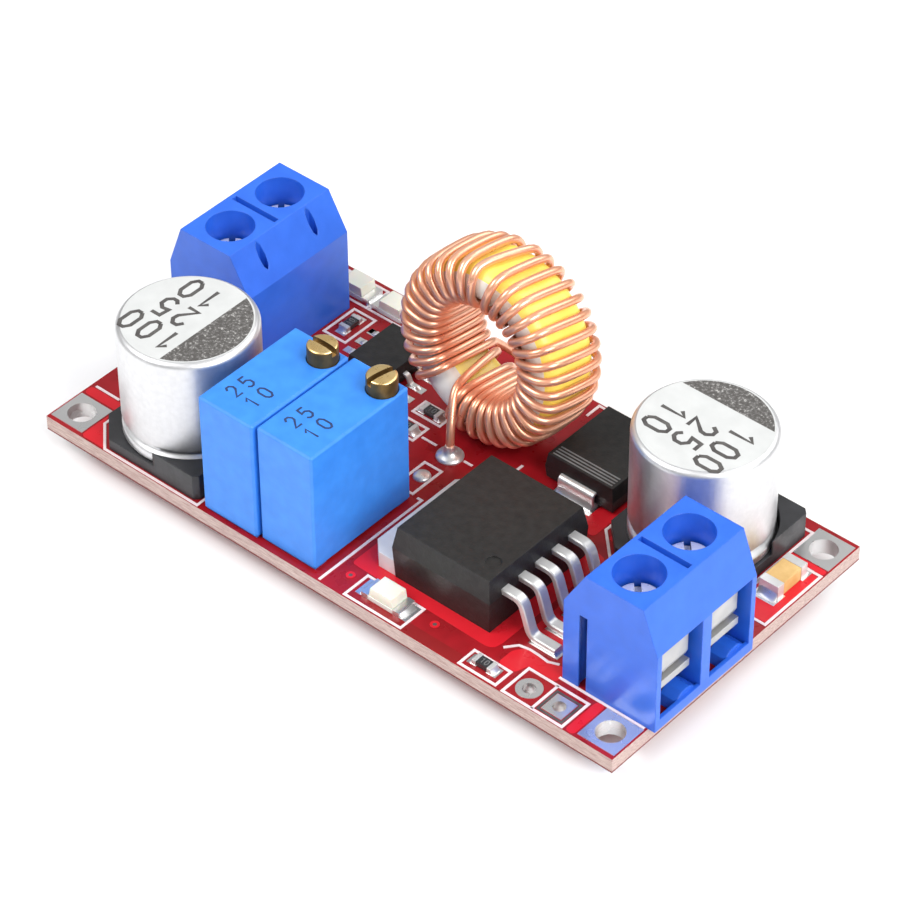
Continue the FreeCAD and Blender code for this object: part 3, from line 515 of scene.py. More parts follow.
COPPER_AREAS = [
    [(0.75, -10.35), (12.8, -10.55), (13.3, -10.3), (13.45, -9.7), (13.45, 1.0), (11.4, 1.4), (0.75, 1.4)],
    [(14.35, -11.2), (14.35, -9.7), (15.0, -8.95), (18.4, -8.75), (18.4, -10.15), (16.1, -10.15),
     (15.8, -11.2)],
    [(21.55, -13.05), (22.3, -13.05), (22.3, -9.75), (21.55, -9.75)],
    [(-25.45, -9.6), (-21.9, -9.6), (-21.9, -8.8), (-25.45, -8.8)],
    [(-22.3, -13.0), (-20.0, -13.0), (-21.95, -11.0), (-22.3, -10.2)],
    [(22.5, 3.1), (25.4, 3.1), (25.4, 8.9), (22.5, 8.9)],
    [(22.4, 9.2), (25.45, 9.2), (25.45, 9.7), (22.4, 9.7)],
    [(3.4, 2.2), (11.4, 2.2), (11.4, 12.8), (6.4, 12.8), (6.4, 3.4), (3.4, 3.4)],
    [(14.0, -7.9), (18.3, -7.9), (18.3, 0.9), (14.0, 0.9)],
    [(-13.9, 9.9), (-8.2, 9.9), (-8.2, 12.9), (-11.9, 12.9), (-11.9, 10.2), (-13.9, 10.2)],
]
EDGE_COPPER = [(2.2, -13.05), (2.2, -12.4), (7.6, -12.15), (12.3, -12.15), (12.3, -13.05)]
PRINT_BOXES = [
    (2.44, 7.42, -12.95, -10.6), (12.49, 15.61, -12.9, -11.33), (16.28, 21.3, -13.0, -10.3),
    (-20.9, -16.58, 10.3, 12.7), (-16.34, -12.2, 10.3, 12.85), (-17.15, -15.1, 6.4, 9.65),
    (-6.45, -3.95, 3.95, 5.3), (-6.9, -4.4, 1.6, 3.2), (-2.25, -0.72, -2.55, 0.45),
    (22.5, 25.4, 2.95, 9.05),
]
PRINT_LINES = [
    [(18.75, -13.0), (18.75, -10.3)],
    [(-4.13, 2.29), (-2.78, 2.29)], [(-0.28, 2.29), (0.49, 2.29)],
    [(0.2, -13.0), (0.2, -2.65), (-0.2, -2.65)],
    [(-25.2, -8.62), (-22.9, -8.62)],
    [(18.3, -9.65), (25.4, -9.65)],
    [(13.73, -9.9), (14.4, -9.08), (15.2, -8.93), (16.0, -8.95), (16.8, -9.05), (17.56, -8.75)],
    [(3.1, 2.4), (3.1, 4.6)], [(3.1, 11.5), (3.1, 12.9), (13.0, 12.9)],
]
CAN_OUTLINE_GAP = 0.24
CAN_OUTLINES = {(-16.5, -7.6): 0.0, (17.0, 6.75): 90.0}
VIAS = [(15.36, -9.3), (16.5, -9.35), (-21.48, -11.85), (-13.2, 7.4), (-13.2, 5.6), (10.6, 3.2),
        (10.0, 12.2), (1.5, -11.3), (8.9, -11.2), (-7.2, 12.2), (12.6, 3.0), (-22.3, 0.2), (-11.2, 12.0)]
SMALL_PADS = [(-14.3, 8.6, 0.8, 0.5), (-14.3, 4.6, 0.8, 0.5)]


def board_dressing():
    def copper(work, outlines):
        for outline in outlines:
            soft = rounded(outline[-1:] + outline + outline[:1], 0.35, 4)[1:-1]
            prism(work, [tuple(p) for p in soft], TOP - SINK, TOP + MASK_RISE)
    # The front-edge copper area takes the darker copy, as painted shade.
    for name, outlines, material in (("mask_over_copper", COPPER_AREAS, MASK_COPPER),
                                     ("mask_over_edge_copper_painted_shade", [EDGE_COPPER], SHADED_EDGE_COPPER)):
        make_piece(name, lambda work: copper(work, outlines), material, "board_red")

    def print_lines(work):
        low, high = TOP - SINK, TOP + PRINT_RISE
        for x0, x1, y0, y1 in PRINT_BOXES:
            strip(work, rectangle(x0, x1, y0, y1), PRINT_WIDTH, low, high, True)
        for line in PRINT_LINES:
            strip(work, line, PRINT_WIDTH, low, high)
        half = BASE_HALF + CAN_OUTLINE_GAP
        near = half - BASE_CHAMFER
        for (x, y), turn in CAN_OUTLINES.items():
            corners = [(-half, -near), (-near, -half), (half, -half), (half, half), (-near, half),
                       (-half, near)]
            place = placed(x, y, turn)
            points = [place @ Vector((*corner, 0)) for corner in corners]
            strip(work, [(p.x, p.y) for p in points], PRINT_WIDTH, low, high, True)
    make_piece("board_print", print_lines, PRINT_WHITE, "board_red")

    def plating(work):
        faces = ((TOP - SINK, TOP + PAD_RISE), (-PAD_RISE, SINK))
        for low, high in faces:
            for x in (-MOUNT_X, MOUNT_X):
                for y in (-MOUNT_Y, MOUNT_Y):
                    ring_plate(work, x, y, square_reach(MOUNT_PAD_HALF), MOUNT_HOLE_R - PLATING, low, high)
            ring_plate(work, HEADER_X, HEADER_Y, lambda a: HEADER_PAD_R, HEADER_HOLE_R - PLATING, low, high)
            ring_plate(work, HEADER_X + PIN_PITCH, HEADER_Y, square_reach(HEADER_PAD_HALF),
                       HEADER_HOLE_R - PLATING, low, high)
        for x in (-MOUNT_X, MOUNT_X):
            for y in (-MOUNT_Y, MOUNT_Y):
                ring_plate(work, x, y, lambda a: MOUNT_HOLE_R + PLATING, MOUNT_HOLE_R - PLATING, 0, TOP)
        for x in (HEADER_X, HEADER_X + PIN_PITCH):
            ring_plate(work, x, HEADER_Y, lambda a: HEADER_HOLE_R + PLATING, HEADER_HOLE_R - PLATING,
                       0, TOP)
    make_piece("plated_holes", plating, PAD_TIN, "solder")

    def vias(work):
        for x, y in VIAS:
            for low, high in ((TOP - SINK, TOP + PAD_RISE), (-PAD_RISE, SINK)):
                ring_plate(work, x, y, lambda a: VIA_R, VIA_HOLE_R, low, high, 24)
    make_piece("via_rings", vias, MASK_COPPER, "board_red")

    # Near-black discs in the via holes: painted shade that stands for the dark inside of each hole.
    def via_hole_shade_discs(work):
        for x, y in VIAS:
            for z in (TOP, 0.0):
                lathe(work, [(0, z - THICK_INK), (VIA_DOT_R, z - THICK_INK),
                             (VIA_DOT_R, z + THICK_INK), (0, z + THICK_INK)], x, y, 16)
    make_piece("via_hole_shade_discs", via_hole_shade_discs, DARK_INK_AND_SHADE, "board_red")

    # Near-black line round the square pad: painted shade in the gap between pad and mask.
    def square_gap(work):
        strip(work, about(HEADER_X + PIN_PITCH, HEADER_Y, PAD_GAP_SIDE, PAD_GAP_SIDE), PAD_GAP_WIDTH,
              TOP - SINK, TOP + THICK_INK, True)
    make_piece("pad_gap", square_gap, DARK_INK_AND_SHADE, "board_red")


# Surface parts: pads below their ends, and solder up them
# Each place is the middle of a part, and a lead's size is (thickness, width)

REGULATOR = (8.02, -4.55)
REGULATOR_HALF = 4.275
REGULATOR_TIP = 4.5
LEAD_PITCH = 1.7
LEAD_COUNT = 5
REGULATOR_LEAD = (0.5, 0.8)
REGULATOR_LEAD_H = 2.95
DIODE = (8.08, 8.0)
DIODE_TOP = 2.3
DIODE_OUT = 3.82
DIODE_LEAD = (0.25, 3.1)
DIODE_LEAD_H = 1.2
AMPLIFIER = (-10.95, 6.63)
AMPLIFIER_TIP = 3.1
AMPLIFIER_PITCH = 1.27
AMPLIFIER_LEAD = (0.2, 0.42)
AMPLIFIER_LEAD_H = 0.8
LEDS = [(5.05, -11.5), (-18.4, 11.45), (-14.6, 11.35)]
LED_HALF = 1.65
LED_END = 0.55
LED_BASE_H = 0.4
RESISTOR_TOP = 0.41
RESISTORS = [(13.95, -12.0, 0.0), (-16.1, 8.1, 90.0), (-5.2, 4.6, 0.0), (-5.6, 2.3, 0.0)]
CHIP_CAPACITOR = (23.8, 6.95, 90.0)

# Reach of a chip's pad from its middle, then every pad's length and width
RESISTOR_PAD = (0.82, 0.8, 0.9)
CHIP_PAD = (1.6, 1.3, 1.9)
LED_PAD = (1.3, 1.6)
REGULATOR_PAD = (2.5, 1.1)
AMPLIFIER_PAD = (1.5, 0.62)
DIODE_PAD = (3.5, 1.9)

# Width, reach and height of solder at an end, and the side and turn of the two ends
RESISTOR_SOLDER = (0.78, 0.36, 0.36)
CHIP_SOLDER = (1.5, 0.55, 0.55)
LED_SOLDER = (1.4, 0.5, 0.3)
REGULATOR_SOLDER = (0.9, 0.25, 0.3)
AMPLIFIER_SOLDER = (0.5, 0.4, 0.18)
DIODE_SOLDER = (3.1, 0.45, 0.5)
ENDS = ((-1, 180), (1, 0))


def lead_rows(count, pitch):
    return [(k - (count - 1) / 2) * pitch for k in range(count)]


def surface_pads():
    def pads(work):
        low, high = TOP - SINK, TOP + PAD_RISE
        for x, y in LEDS:
            for side in (-1, 1):
                prism(work, about(x + side * (LED_HALF - 0.05), y, *LED_PAD), low, high)
        for x, y, turn in RESISTORS + [CHIP_CAPACITOR]:
            big = (x, y, turn) == CHIP_CAPACITOR
            reach, length, width = CHIP_PAD if big else RESISTOR_PAD
            for side in (-1, 1):
                if turn:
                    prism(work, about(x, y + side * reach, width, length), low, high)
                else:
                    prism(work, about(x + side * reach, y, length, width), low, high)
        for row in lead_rows(LEAD_COUNT, LEAD_PITCH):
            pad_x = REGULATOR[0] + REGULATOR_HALF + 3.6
            prism(work, about(pad_x, REGULATOR[1] + row, *REGULATOR_PAD), low, high)
        for row in lead_rows(4, AMPLIFIER_PITCH):
            for side in (-1, 1):
                prism(work, about(AMPLIFIER[0] + side * 3.0, AMPLIFIER[1] + row, *AMPLIFIER_PAD), low,
                      high)
        for side in (-1, 1):
            prism(work, about(DIODE[0], DIODE[1] + side * 3.5, *DIODE_PAD), low, high)
        for x, y, length, width in SMALL_PADS:
            prism(work, about(x, y, length, width), low, high)
    make_piece("surface_pads", pads, PAD_TIN, "solder")

    def fillets(work):
        for x, y in LEDS:
            for side, turn in ENDS:
                solder_rise(work, x + side * LED_HALF, y, turn, *LED_SOLDER)
        for x, y, turn in RESISTORS:
            for side, spin in ENDS:
                end = placed(x, y, turn, 0) @ Vector((side * 0.8, 0, 0))
                solder_rise(work, end.x, end.y, turn + spin, *RESISTOR_SOLDER)
        x, y, turn = CHIP_CAPACITOR
        for side, spin in ENDS:
            end = placed(x, y, turn, 0) @ Vector((side * 1.6, 0, 0))
            solder_rise(work, end.x, end.y, turn + spin, *CHIP_SOLDER)
        for row in lead_rows(LEAD_COUNT, LEAD_PITCH):
            tip = REGULATOR[0] + REGULATOR_HALF + REGULATOR_TIP
            solder_rise(work, tip, REGULATOR[1] + row, 0, *REGULATOR_SOLDER)
        for row in lead_rows(4, AMPLIFIER_PITCH):
            for side, turn in ENDS:
                solder_rise(work, AMPLIFIER[0] + side * AMPLIFIER_TIP, AMPLIFIER[1] + row, turn,
                            *AMPLIFIER_SOLDER)
        for side, turn in ((-1, -90), (1, 90)):
            solder_rise(work, DIODE[0], DIODE[1] + side * DIODE_OUT, turn, *DIODE_SOLDER)
    make_piece("surface_solder", fillets, MATERIALS["solder"], "solder")


def led_ends():
    """Tinned ends that wrap round each indicator's base."""
    def ends(work):
        for x, y in LEDS:
            for side in (-1, 1):
                middle = x + side * (LED_HALF - LED_END / 2 + 0.02)
                prism(work, about(middle, y, LED_END, 1.64), TOP, TOP + LED_BASE_H + 0.02)
    make_piece("led_end_caps", ends, PAD_TIN, "led_white")


def bent_leads():
    def regulator(work):
        place = placed(*REGULATOR)
        edge = REGULATOR_HALF
        foot = REGULATOR_LEAD[0] / 2
        route = [(edge - 0.8, REGULATOR_LEAD_H), (edge + 1.45, REGULATOR_LEAD_H), (edge + 2.3, foot),
                 (edge + REGULATOR_TIP, foot)]
        for row in lead_rows(LEAD_COUNT, LEAD_PITCH):
            bent_strip(work, place, route, REGULATOR_LEAD, 0.62, row, 0.08)
    make_piece("regulator_bent_leads", regulator, MATERIALS["pin_tin"], "pin_tin",
               stands_for=["regulator_leads"])

    def amplifier(work):
        foot = AMPLIFIER_LEAD[0] / 2
        route = [(1.65, AMPLIFIER_LEAD_H), (2.22, AMPLIFIER_LEAD_H), (2.5, foot), (AMPLIFIER_TIP, foot)]
        for turn in (0, 180):
            for row in lead_rows(4, AMPLIFIER_PITCH):
                bent_strip(work, placed(*AMPLIFIER, turn), route, AMPLIFIER_LEAD, 0.24, row, 0.03)
    make_piece("amplifier_bent_leads", amplifier, MATERIALS["pin_tin"], "pin_tin",
               stands_for=["amplifier_leads"])

    def diode(work):
        foot = DIODE_LEAD[0] / 2
        out = DIODE_OUT - foot
        route = [(2.8, DIODE_LEAD_H), (out, DIODE_LEAD_H), (out, foot), (2.2, foot)]
        for turn in (90, 270):
            bent_strip(work, placed(*DIODE, turn), route, DIODE_LEAD, 0.3, 0, 0.04)
    make_piece("diode_folded_terminals", diode, MATERIALS["pin_tin"], "pin_tin",
               stands_for=["diode_terminals"])


def body_marks():
    """Cathode lines on the diode and small plain numbers on the resistors."""
    def band(work):
        top = TOP + DIODE_TOP
        for k in range(4):
            y = DIODE[1] - 3.0 + 0.28 * k
            prism(work, about(DIODE[0], y, 5.2, 0.12), top - SINK, top + INK)
    make_piece("diode_band", band, PRINT_GREY, "epoxy_black")

    def numbers(work):
        top = TOP + RESISTOR_TOP
        for x, y, turn in RESISTORS:
            plain_number(work, "10", placed(x, y, turn, 0), 0.42, 0.34, 0.06, top - SINK, top + THIN_INK)
    make_piece("resistor_numbers", numbers, PRINT_GREY, "chip_black")


# Can capacitors

BASE_HALF = 5.15
BASE_CHAMFER = 1.9
CAN_R = 5.0
CAN_TOP = 10.2
CAN_SEAT = 0.9
CAN_FACE_R = 4.62
CAN_NECK_LOW = 1.6
CAN_NECK_H = 1.0
CAN_NECK_DEPTH = 0.35
CAN_RIM = 0.5
CAN_MARK_START = {"input": 1.5, "output": 2.35}
CAN_TURN = {"input": 0.0, "output": 90.0}
CAN_NUMBERS = ("100", "25", "10")


def make_can(side):
    low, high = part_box(side + "_capacitor_can")
    x = (low.x + high.x) / 2 / MM
    y = (low.y + high.y) / 2 / MM
    top = TOP + CAN_TOP

    def shell(work):
        wall = [(0, TOP + CAN_SEAT), (CAN_R - 0.15, TOP + CAN_SEAT), (CAN_R, TOP + 1.1)]
        steps = 12
        wall += [(CAN_R - CAN_NECK_DEPTH * math.sin(math.pi * i / steps) ** 2,
                  TOP + CAN_NECK_LOW + CAN_NECK_H * i / steps) for i in range(steps + 1)]
        turn = [math.pi / 2 * i / 8 for i in range(9)]
        rim = [(CAN_R - CAN_RIM * (1 - math.cos(a)), top - CAN_RIM * (1 - math.sin(a))) for a in turn]
        lathe(work, wall + rim + [(0, top)], x, y, 128)
    make_piece(side + "_can_shell", shell, MATERIALS["can_aluminium"], "can_aluminium",
               stands_for=[side + "_capacitor_can"], crease=60)

    def face(work):
        plate = [(0, top - SINK), (CAN_FACE_R, top - SINK), (CAN_FACE_R, top + THIN_INK),
                 (0, top + THIN_INK)]
        lathe(work, plate, x, y, 96)
    make_piece(side + "_can_face", face, CAN_FACE, "can_aluminium")

    place = placed(x, y, CAN_TURN[side], 0)

    def mark(work):
        start = CAN_MARK_START[side]
        r = CAN_FACE_R - 0.12
        reach = math.acos(start / r)
        arc = [reach * (2 * i / 40 - 1) for i in range(41)]
        points = [place @ Vector((r * math.cos(a), r * math.sin(a), 0)) for a in arc]
        prism(work, [(p.x, p.y) for p in points], top, top + THICK_INK)
    make_piece(side + "_can_mark", mark, CAN_MARK, "can_aluminium")

    def numbers(work):
        for k, text in enumerate(CAN_NUMBERS):
            spot = place @ Matrix.Translation((-1.2, (k - 1) * 2.5, 0)) @ Matrix.Rotation(math.pi, 4, "Z")
            plain_number(work, text, spot, 1.9, 1.75, 0.3, top, top + THICK_INK)
    make_piece(side + "_can_numbers", numbers, DARK_INK_AND_SHADE, "can_aluminium")


# Screws

SCREW_THREAD_DEPTH = 0.1
SCREW_THREAD_PITCH = 0.45
CLAMP_HEAD_H = 1.0
CLAMP_SHANK_R = 1.2
CLAMP_SLOTS = [(-48.0, 0.45, 3.6, 0.6), (42.0, 0.45, 2.1, 0.5)]
ADJUSTER_HEAD_H = 2.15
ADJUSTER_WORM_R = 0.65
ADJUSTER_SLOT = {"current": 0.0, "voltage": 78.0}


def screw_profile(shank_r, head_r, tip, head_low, top, dome):
    """Threaded shank below a head with a softened rim and a slightly raised middle."""
    turns = max(1, int((head_low - tip - 0.4) / SCREW_THREAD_PITCH))
    profile = [(0, tip), (shank_r - 0.25, tip)]
    for k in range(turns):
        z = tip + 0.2 + k * SCREW_THREAD_PITCH
        profile += [(shank_r - SCREW_THREAD_DEPTH, z), (shank_r, z + SCREW_THREAD_PITCH / 2)]
    profile += [(shank_r - SCREW_THREAD_DEPTH, head_low - 0.15), (shank_r, head_low),
                (head_r - 0.08, head_low), (head_r, head_low + 0.08)]
    rim = 0.2
    for i in range(6):
        a = math.pi / 2 * i / 5
        profile.append((head_r - rim * (1 - math.cos(a)), top - dome - rim * (1 - math.sin(a))))
    return profile + [(head_r * 0.5, top - dome * 0.3), (0, top)]


def turned_screw(node, materials, finish, shank_r, head_h, slots, dome):
    """Screw on a node's own axis; slots are (angle, width, length, depth) cut in its head."""
    name = node + "_turned"
    low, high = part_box(node)
    x = (low.x + high.x) / 2 / MM
    y = (low.y + high.y) / 2 / MM
    tip, top = low.z / MM, high.z / MM
    head_r = (high.y - low.y) / 2 / MM
    profile = screw_profile(shank_r, head_r, tip, top - head_h, top, dome)

    def cutter(angle, width, length, depth):
        points = [placed(x, y, angle, 0) @ Vector((*p, 0)) for p in about(0, 0, length, width)]
        return lambda work: prism(work, [(p.x, p.y) for p in points], top - depth, top + 1)
    mesh = mesh_from(name, lambda work: lathe(work, profile, x, y, 64), [cutter(*slot) for slot in slots])
    # Upright faces (head rims, shanks, slot walls) take the second, darker material as painted shade; tops
    # take the first.
    for face in mesh.polygons:
        face.material_index = 1 if abs(face.normal.z) < 0.6 else 0
    add_piece(name, mesh, materials, finish, body=node, stands_for=[node])


def make_screws():
    for side in ("input", "output"):
        for pole in ("a", "b"):
            turned_screw(side + "_clamp_screw_" + pole, [LIT_SCREW_TOP, SCREW_SHADE], "tinned_steel",
                         CLAMP_SHANK_R, CLAMP_HEAD_H, CLAMP_SLOTS, 0.12)
    for which, angle in ADJUSTER_SLOT.items():
        turned_screw(which + "_trimmer_screw", [MATERIALS["brass_screw"], SHADED_BRASS_SIDE], "brass_screw",
                     ADJUSTER_WORM_R, ADJUSTER_HEAD_H, [(angle, 0.42, 2.6, 0.6)], 0.08)


# Trimmer tops carry plain numbers

TRIMMER_CORNERS = {"current": (-10.58, -12.85), "voltage": (-5.46, -12.6)}
TRIMMER_TOP = 10.0
TRIMMER_NUMBERS = ((1.5, "25"), (3.2, "10"))


def trimmer_numbers():
    def numbers(work):
        top = TOP + TRIMMER_TOP
        for x, y in TRIMMER_CORNERS.values():
            for across, text in TRIMMER_NUMBERS:
                spot = placed(x + across, y + 2.6, 90.0, 0)
                plain_number(work, text, spot, 1.15, 1.25, 0.16, top - SINK, top + INK)
    make_piece("trimmer_numbers", numbers, PRINT_NAVY, "trimmer_blue")


# Solder on pins through the board

TERMINAL_PINS = [(21.5, -1.91), (21.5, -6.99), (-21.55, 6.99), (-21.55, 1.91)]
TRIMMER_PIN_X = 2.475
TRIMMER_PIN_Y = 4.825
SPARE_PAD = (-1.45, -0.75)
SPARE_DOME_R = 0.65
SPARE_DOME_H = 0.3

# Pad radius, pin radius and height of the cones under the board
TERMINAL_CONE = (1.25, 0.5, 1.05)
TRIMMER_CONE = (0.8, 0.28, 1.0)
COIL_CONE = (1.1, 0.34, 1.05)
COIL_DOME_H = 0.9
COIL_DOME = [(1.0, 0.0), (1.02, 0.1), (0.9, 0.24), (0.65, 0.38), (0.46, 0.55), (0.37, 0.78), (0.34, 0.98)]


def solder_cone(work, x, y, pad_r, pin_r, height):
    """Hollow-sided cone of solder below the board, with a thin skirt on its pad."""
    steps = 8
    slope = [(pin_r + (pad_r - pin_r) * (1 - i / steps) ** 2.2, -0.05 - height * i / steps)
             for i in range(steps + 1)]
    skirt = [(0, SINK), (pad_r + 0.05, SINK), (pad_r + 0.05, -0.03)]
    lathe(work, skirt + slope + [(0, -0.05 - height)], x, y, 32)


def pin_solder():
    def terminals(work):
        for x, y in TERMINAL_PINS:
            solder_cone(work, x, y, *TERMINAL_CONE)
    make_piece("terminal_solder_cones", terminals, MATERIALS["solder"], "solder",
               stands_for=["terminal_solder"])

    def trimmers(work):
        for x, y in TRIMMER_CORNERS.values():
            for row in (-1, 0, 1):
                solder_cone(work, x + TRIMMER_PIN_X, y + TRIMMER_PIN_Y + row * PIN_PITCH, *TRIMMER_CONE)
        foot = 0.02
        rise = [math.pi / 2 * i / 6 for i in range(6)]
        dome = [(SPARE_DOME_R * math.cos(a), TOP + foot + (SPARE_DOME_H - foot) * math.sin(a)) for a in rise]
        lathe(work, [(0, TOP), (SPARE_DOME_R, TOP)] + dome + [(0, TOP + SPARE_DOME_H)], *SPARE_PAD, 32)
    make_piece("trimmer_solder_cones", trimmers, MATERIALS["solder"], "solder",
               stands_for=["trimmer_solder"])

    def coil(work):
        for x, y in COIL_PADS.values():
            solder_cone(work, x, y, *COIL_CONE)
            rise = rounded([(r, TOP + h) for r, h in COIL_DOME], 0.3, 4)
            lathe(work, [(0, TOP)] + [tuple(p) for p in rise] + [(0, rise[-1].y)], x, y, 48)
    make_piece("coil_solder_domes", coil, MATERIALS["solder"], "solder", stands_for=["inductor_solder"])


# Winding and core: the same coil as the solid one, with a round wire

COIL_CENTRE = Vector((-0.9, 6.85, 0.0))
COIL_HEADING = 1.7
COIL_LEAN = 4.7
COIL_FLOAT = 0.1
CORE_OD = 13.4
CORE_ID = 8.2
CORE_HEIGHT = 5.15
CORE_EDGE = 1.2
WHITE_BELOW = -1.3
WHITE_TO_R = 6.2
WIRE_R = 0.31
WIRE_GAP = 0.03
WIRE_BOW = 0.1
OUTER_BEND = 0.9
INNER_BEND = 0.8
FIRST_PASS = 244.5
PASS_PITCH = 9.8
TURNS = 34
BORE_SLANT = 3.5
LEAD_SLANT = -8.5
FACE_SLANT = 1.2
OPEN_GAP = 5.0
OPEN_GAP_AFTER = 20
LEAD_ANGLE = 250.0
LEAD_REACH = 0.45
LEAD_RISE = 0.75
COIL_PADS = {"front": Vector((-1.36, 2.07)), "back": Vector((-2.6, 11.9))}

LOOP_R = CORE_OD / 2 + WIRE_R + WIRE_GAP + WIRE_BOW
LOOP_H = CORE_HEIGHT / 2 + WIRE_R + WIRE_GAP
BORE_R = CORE_ID / 2 - WIRE_R - WIRE_GAP
LEAN = math.radians(COIL_LEAN)
COIL_Z = TOP + COIL_FLOAT + (LOOP_R + WIRE_R) * math.cos(LEAN) + (LOOP_H - OUTER_BEND) * math.sin(LEAN)
COIL = (Matrix.Translation(COIL_CENTRE + Vector((0, 0, COIL_Z)))
        @ Matrix.Rotation(math.radians(-COIL_HEADING), 4, "Z")
        @ Matrix.Rotation(math.radians(-COIL_LEAN), 4, "X"))


def coil_point(r, angle, along):
    a = math.radians(angle)
    return COIL @ Vector((r * math.cos(a), along, r * math.sin(a)))


def pass_angle(k):
    return FIRST_PASS + k * PASS_PITCH + (OPEN_GAP if k > OPEN_GAP_AFTER else 0)


def turn_route(k):
    """One turn as (radius, angle, height): through the bore, over the back and down the front."""
    enter = pass_angle(k)
    leave = enter + (BORE_SLANT if k else LEAD_SLANT)
    after = pass_angle(k + 1)
    inner = BORE_R + INNER_BEND
    outer = LOOP_R - OUTER_BEND
    side = LOOP_H - OUTER_BEND
    return [(BORE_R, enter, INNER_BEND - LOOP_H), (BORE_R, leave, LOOP_H - INNER_BEND),
            (inner, leave, LOOP_H), (outer, leave + FACE_SLANT, LOOP_H),
            (LOOP_R, leave + FACE_SLANT, side), (LOOP_R, after - FACE_SLANT, -side),
            (outer, after - FACE_SLANT, -LOOP_H), (inner, after, -LOOP_H)]


def wire_nodes():
    front, back = COIL_PADS["front"], COIL_PADS["back"]
    lead_top = TOP + COIL_DOME_H + LEAD_RISE
    route = [point for k in range(TURNS) for point in turn_route(k)]
    last = pass_angle(TURNS)
    route += [(BORE_R, last, INNER_BEND - LOOP_H), (BORE_R, last + BORE_SLANT, LOOP_H - INNER_BEND),
              (BORE_R + LEAD_REACH, last + BORE_SLANT, LOOP_H)]
    points = [Vector((*front, PIN_TIP)), Vector((*front, lead_top))]
    points.append(coil_point(BORE_R + LEAD_REACH, LEAD_ANGLE, -LOOP_H))
    points += [coil_point(*place) for place in route]
    return points + [Vector((*back, lead_top)), Vector((*back, PIN_TIP))]


def eased(points, share=0.42, steps=4):
    """Route whose corners are rounded by short curves, so that the wire bends and doesn't crease."""
    out = [points[0]]
    for before, here, after in zip(points, points[1:], points[2:]):
        first = here + (before - here) * share
        last = here + (after - here) * share
        for i in range(steps + 1):
            t = i / steps
            out.append(first * (1 - t) ** 2 + here * 2 * t * (1 - t) + last * t ** 2)
    return out + [points[-1]]


def tube(work, route, radius, sides=12):
    """Round wire along a route, without twist."""
    across = Vector((0, 1, 0))
    rings = []
    for i, here in enumerate(route):
        ahead = (route[min(i + 1, len(route) - 1)] - route[max(i - 1, 0)]).normalized()
        across = (across - ahead * across.dot(ahead)).normalized()
        over = ahead.cross(across)
        angles = [2 * math.pi * k / sides for k in range(sides)]
        rings.append([work.verts.new(here + (across * math.cos(a) + over * math.sin(a)) * radius)
                      for a in angles])
    loft(work, rings)


def make_winding():
    route = eased(wire_nodes())
    make_piece("winding_wire", lambda work: tube(work, route, WIRE_R), MATERIALS["wire_copper"],
               "wire_copper", stands_for=["inductor_winding"])


def make_core():
    """Coated ring: yellow, with white round the bore on the front face."""
    half = CORE_HEIGHT / 2
    section = []
    for r, h, side_r, side_h in ((CORE_OD / 2, half, 1, 1), (CORE_ID / 2, half, -1, 1),
                                 (CORE_ID / 2, -half, -1, -1), (CORE_OD / 2, -half, 1, -1)):
        turn = [math.pi / 2 * i / 8 for i in range(9)]
        arc = [(r - side_r * CORE_EDGE * (1 - math.cos(a)), h - side_h * CORE_EDGE * (1 - math.sin(a)))
               for a in turn]
        section += arc if side_r == side_h else arc[::-1]
    sides = 120

    def make(work):
        rings = [[work.verts.new(coil_point(r, -360 * i / sides, h)) for r, h in section]
                 for i in range(sides)]
        for low, high in zip(rings, rings[1:] + rings[:1]):
            for k in range(len(section)):
                m = (k + 1) % len(section)
                face = work.faces.new([low[k], low[m], high[m], high[k]])
                r, h = [(section[k][i] + section[m][i]) / 2 for i in (0, 1)]
                face.material_index = 1 if h < WHITE_BELOW and r < WHITE_TO_R else 0
    make_piece("coated_core", make, [MATERIALS["core_yellow"], CORE_WHITE], "core_yellow",
               stands_for=["inductor_core"])


# Camera, light and floor

SENSOR_MM = 36.0
PHOTO_LENS_PX = 3858.9
PHOTO_SIZE_PX = 900
CAMERA_PLACE = Vector((131.034, -147.852, 177.829)) * MM
CAMERA_AIM = Vector((-0.49685, 0.56267, -0.66072))
CAMERA_ROLL = -0.484


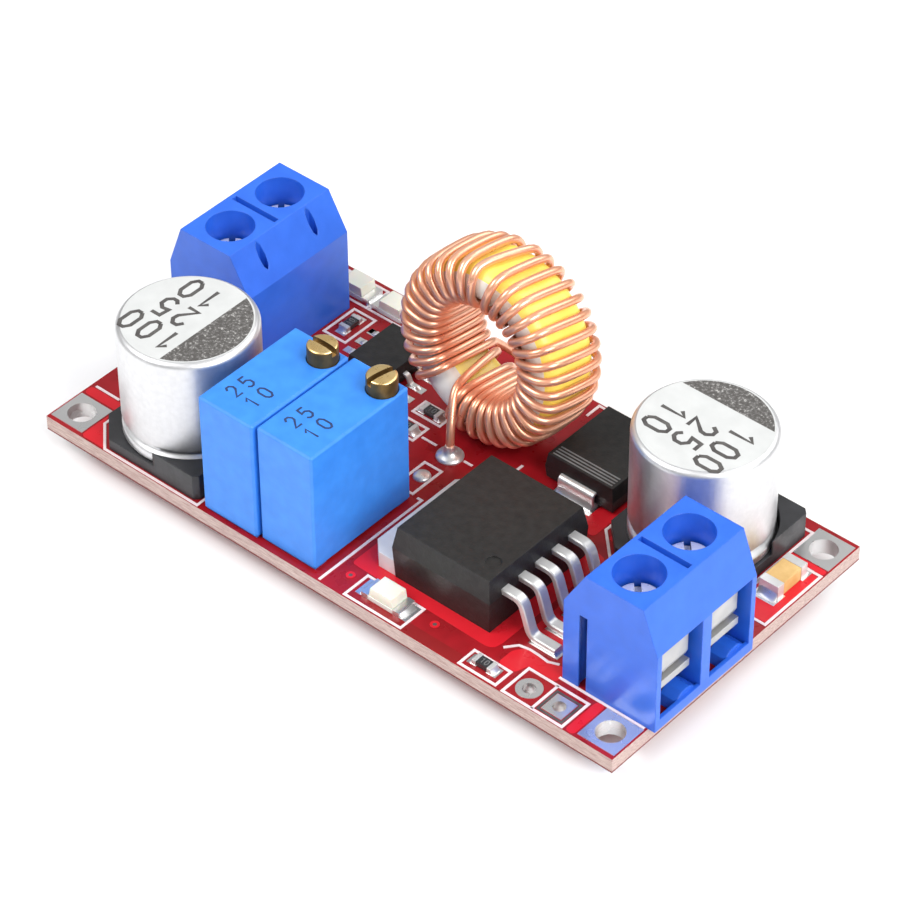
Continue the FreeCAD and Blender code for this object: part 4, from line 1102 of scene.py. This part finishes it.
def make_camera():
    data = bpy.data.cameras.new("photo_camera")
    data.sensor_width = SENSOR_MM
    data.lens = SENSOR_MM * PHOTO_LENS_PX / PHOTO_SIZE_PX
    data.clip_start = 10 * MM
    data.clip_end = 10.0
    camera = bpy.data.objects.new("photo_camera", data)
    camera.location = CAMERA_PLACE
    level = CAMERA_AIM.to_track_quat("-Z", "Y")
    camera.rotation_mode = "QUATERNION"
    camera.rotation_quaternion = level @ Quaternion((0, 0, 1), math.radians(CAMERA_ROLL))
    bpy.context.scene.collection.objects.link(camera)
    bpy.context.scene.camera = camera


def area_light(name, place, size, watts):
    data = bpy.data.lights.new(name, "AREA")
    data.shape = "DISK"
    data.size = size
    data.energy = watts
    light = bpy.data.objects.new(name, data)
    light.location = place
    light.rotation_mode = "QUATERNION"
    light.rotation_quaternion = (-Vector(place)).to_track_quat("-Z", "Y")
    bpy.context.scene.collection.objects.link(light)


def make_floor():
    mesh = bpy.data.meshes.new("floor")
    work = bmesh.new()
    bmesh.ops.create_grid(work, x_segments=1, y_segments=1, size=1.5)
    work.to_mesh(mesh)
    work.free()
    floor = bpy.data.objects.new("floor", mesh)
    floor.location = (0, 0, cad_low.z)
    mesh.materials.append(surface("floor_white", grey(0.90), grey(0.92), 0.6, 0.02, 20.0, 0.01))
    bpy.context.scene.collection.objects.link(floor)


def make_world():
    """Even white tent, a little darker towards the table."""
    world = bpy.data.worlds.new("studio")
    world.use_nodes = True
    tree = world.node_tree
    background = tree.nodes["Background"]
    split = tree.nodes.new("ShaderNodeSeparateXYZ")
    tree.links.new(tree.nodes.new("ShaderNodeTexCoord").outputs["Generated"], split.inputs["Vector"])
    sky = ramp(tree, split.outputs["Z"], [(0.0, grey(0.45)), (0.35, grey(0.75)), (0.8, grey(1.0))])
    tree.links.new(sky, background.inputs["Color"])
    background.inputs["Strength"].default_value = 0.60
    bpy.context.scene.world = world


finish_nodes()
board_dressing()
surface_pads()
led_ends()
bent_leads()
body_marks()
for side in CAN_TURN:
    make_can(side)
make_screws()
trimmer_numbers()
pin_solder()
make_winding()
make_core()

make_camera()
make_floor()
make_world()
area_light("key_front_left", (-0.22, -0.30, 0.45), 0.34, 2.0)
area_light("fill_back", (0.15, 0.35, 0.40), 0.40, 1.1)
area_light("fill_right", (0.40, -0.05, 0.30), 0.35, 2.1)
bpy.context.scene.view_settings.view_transform = "Standard"
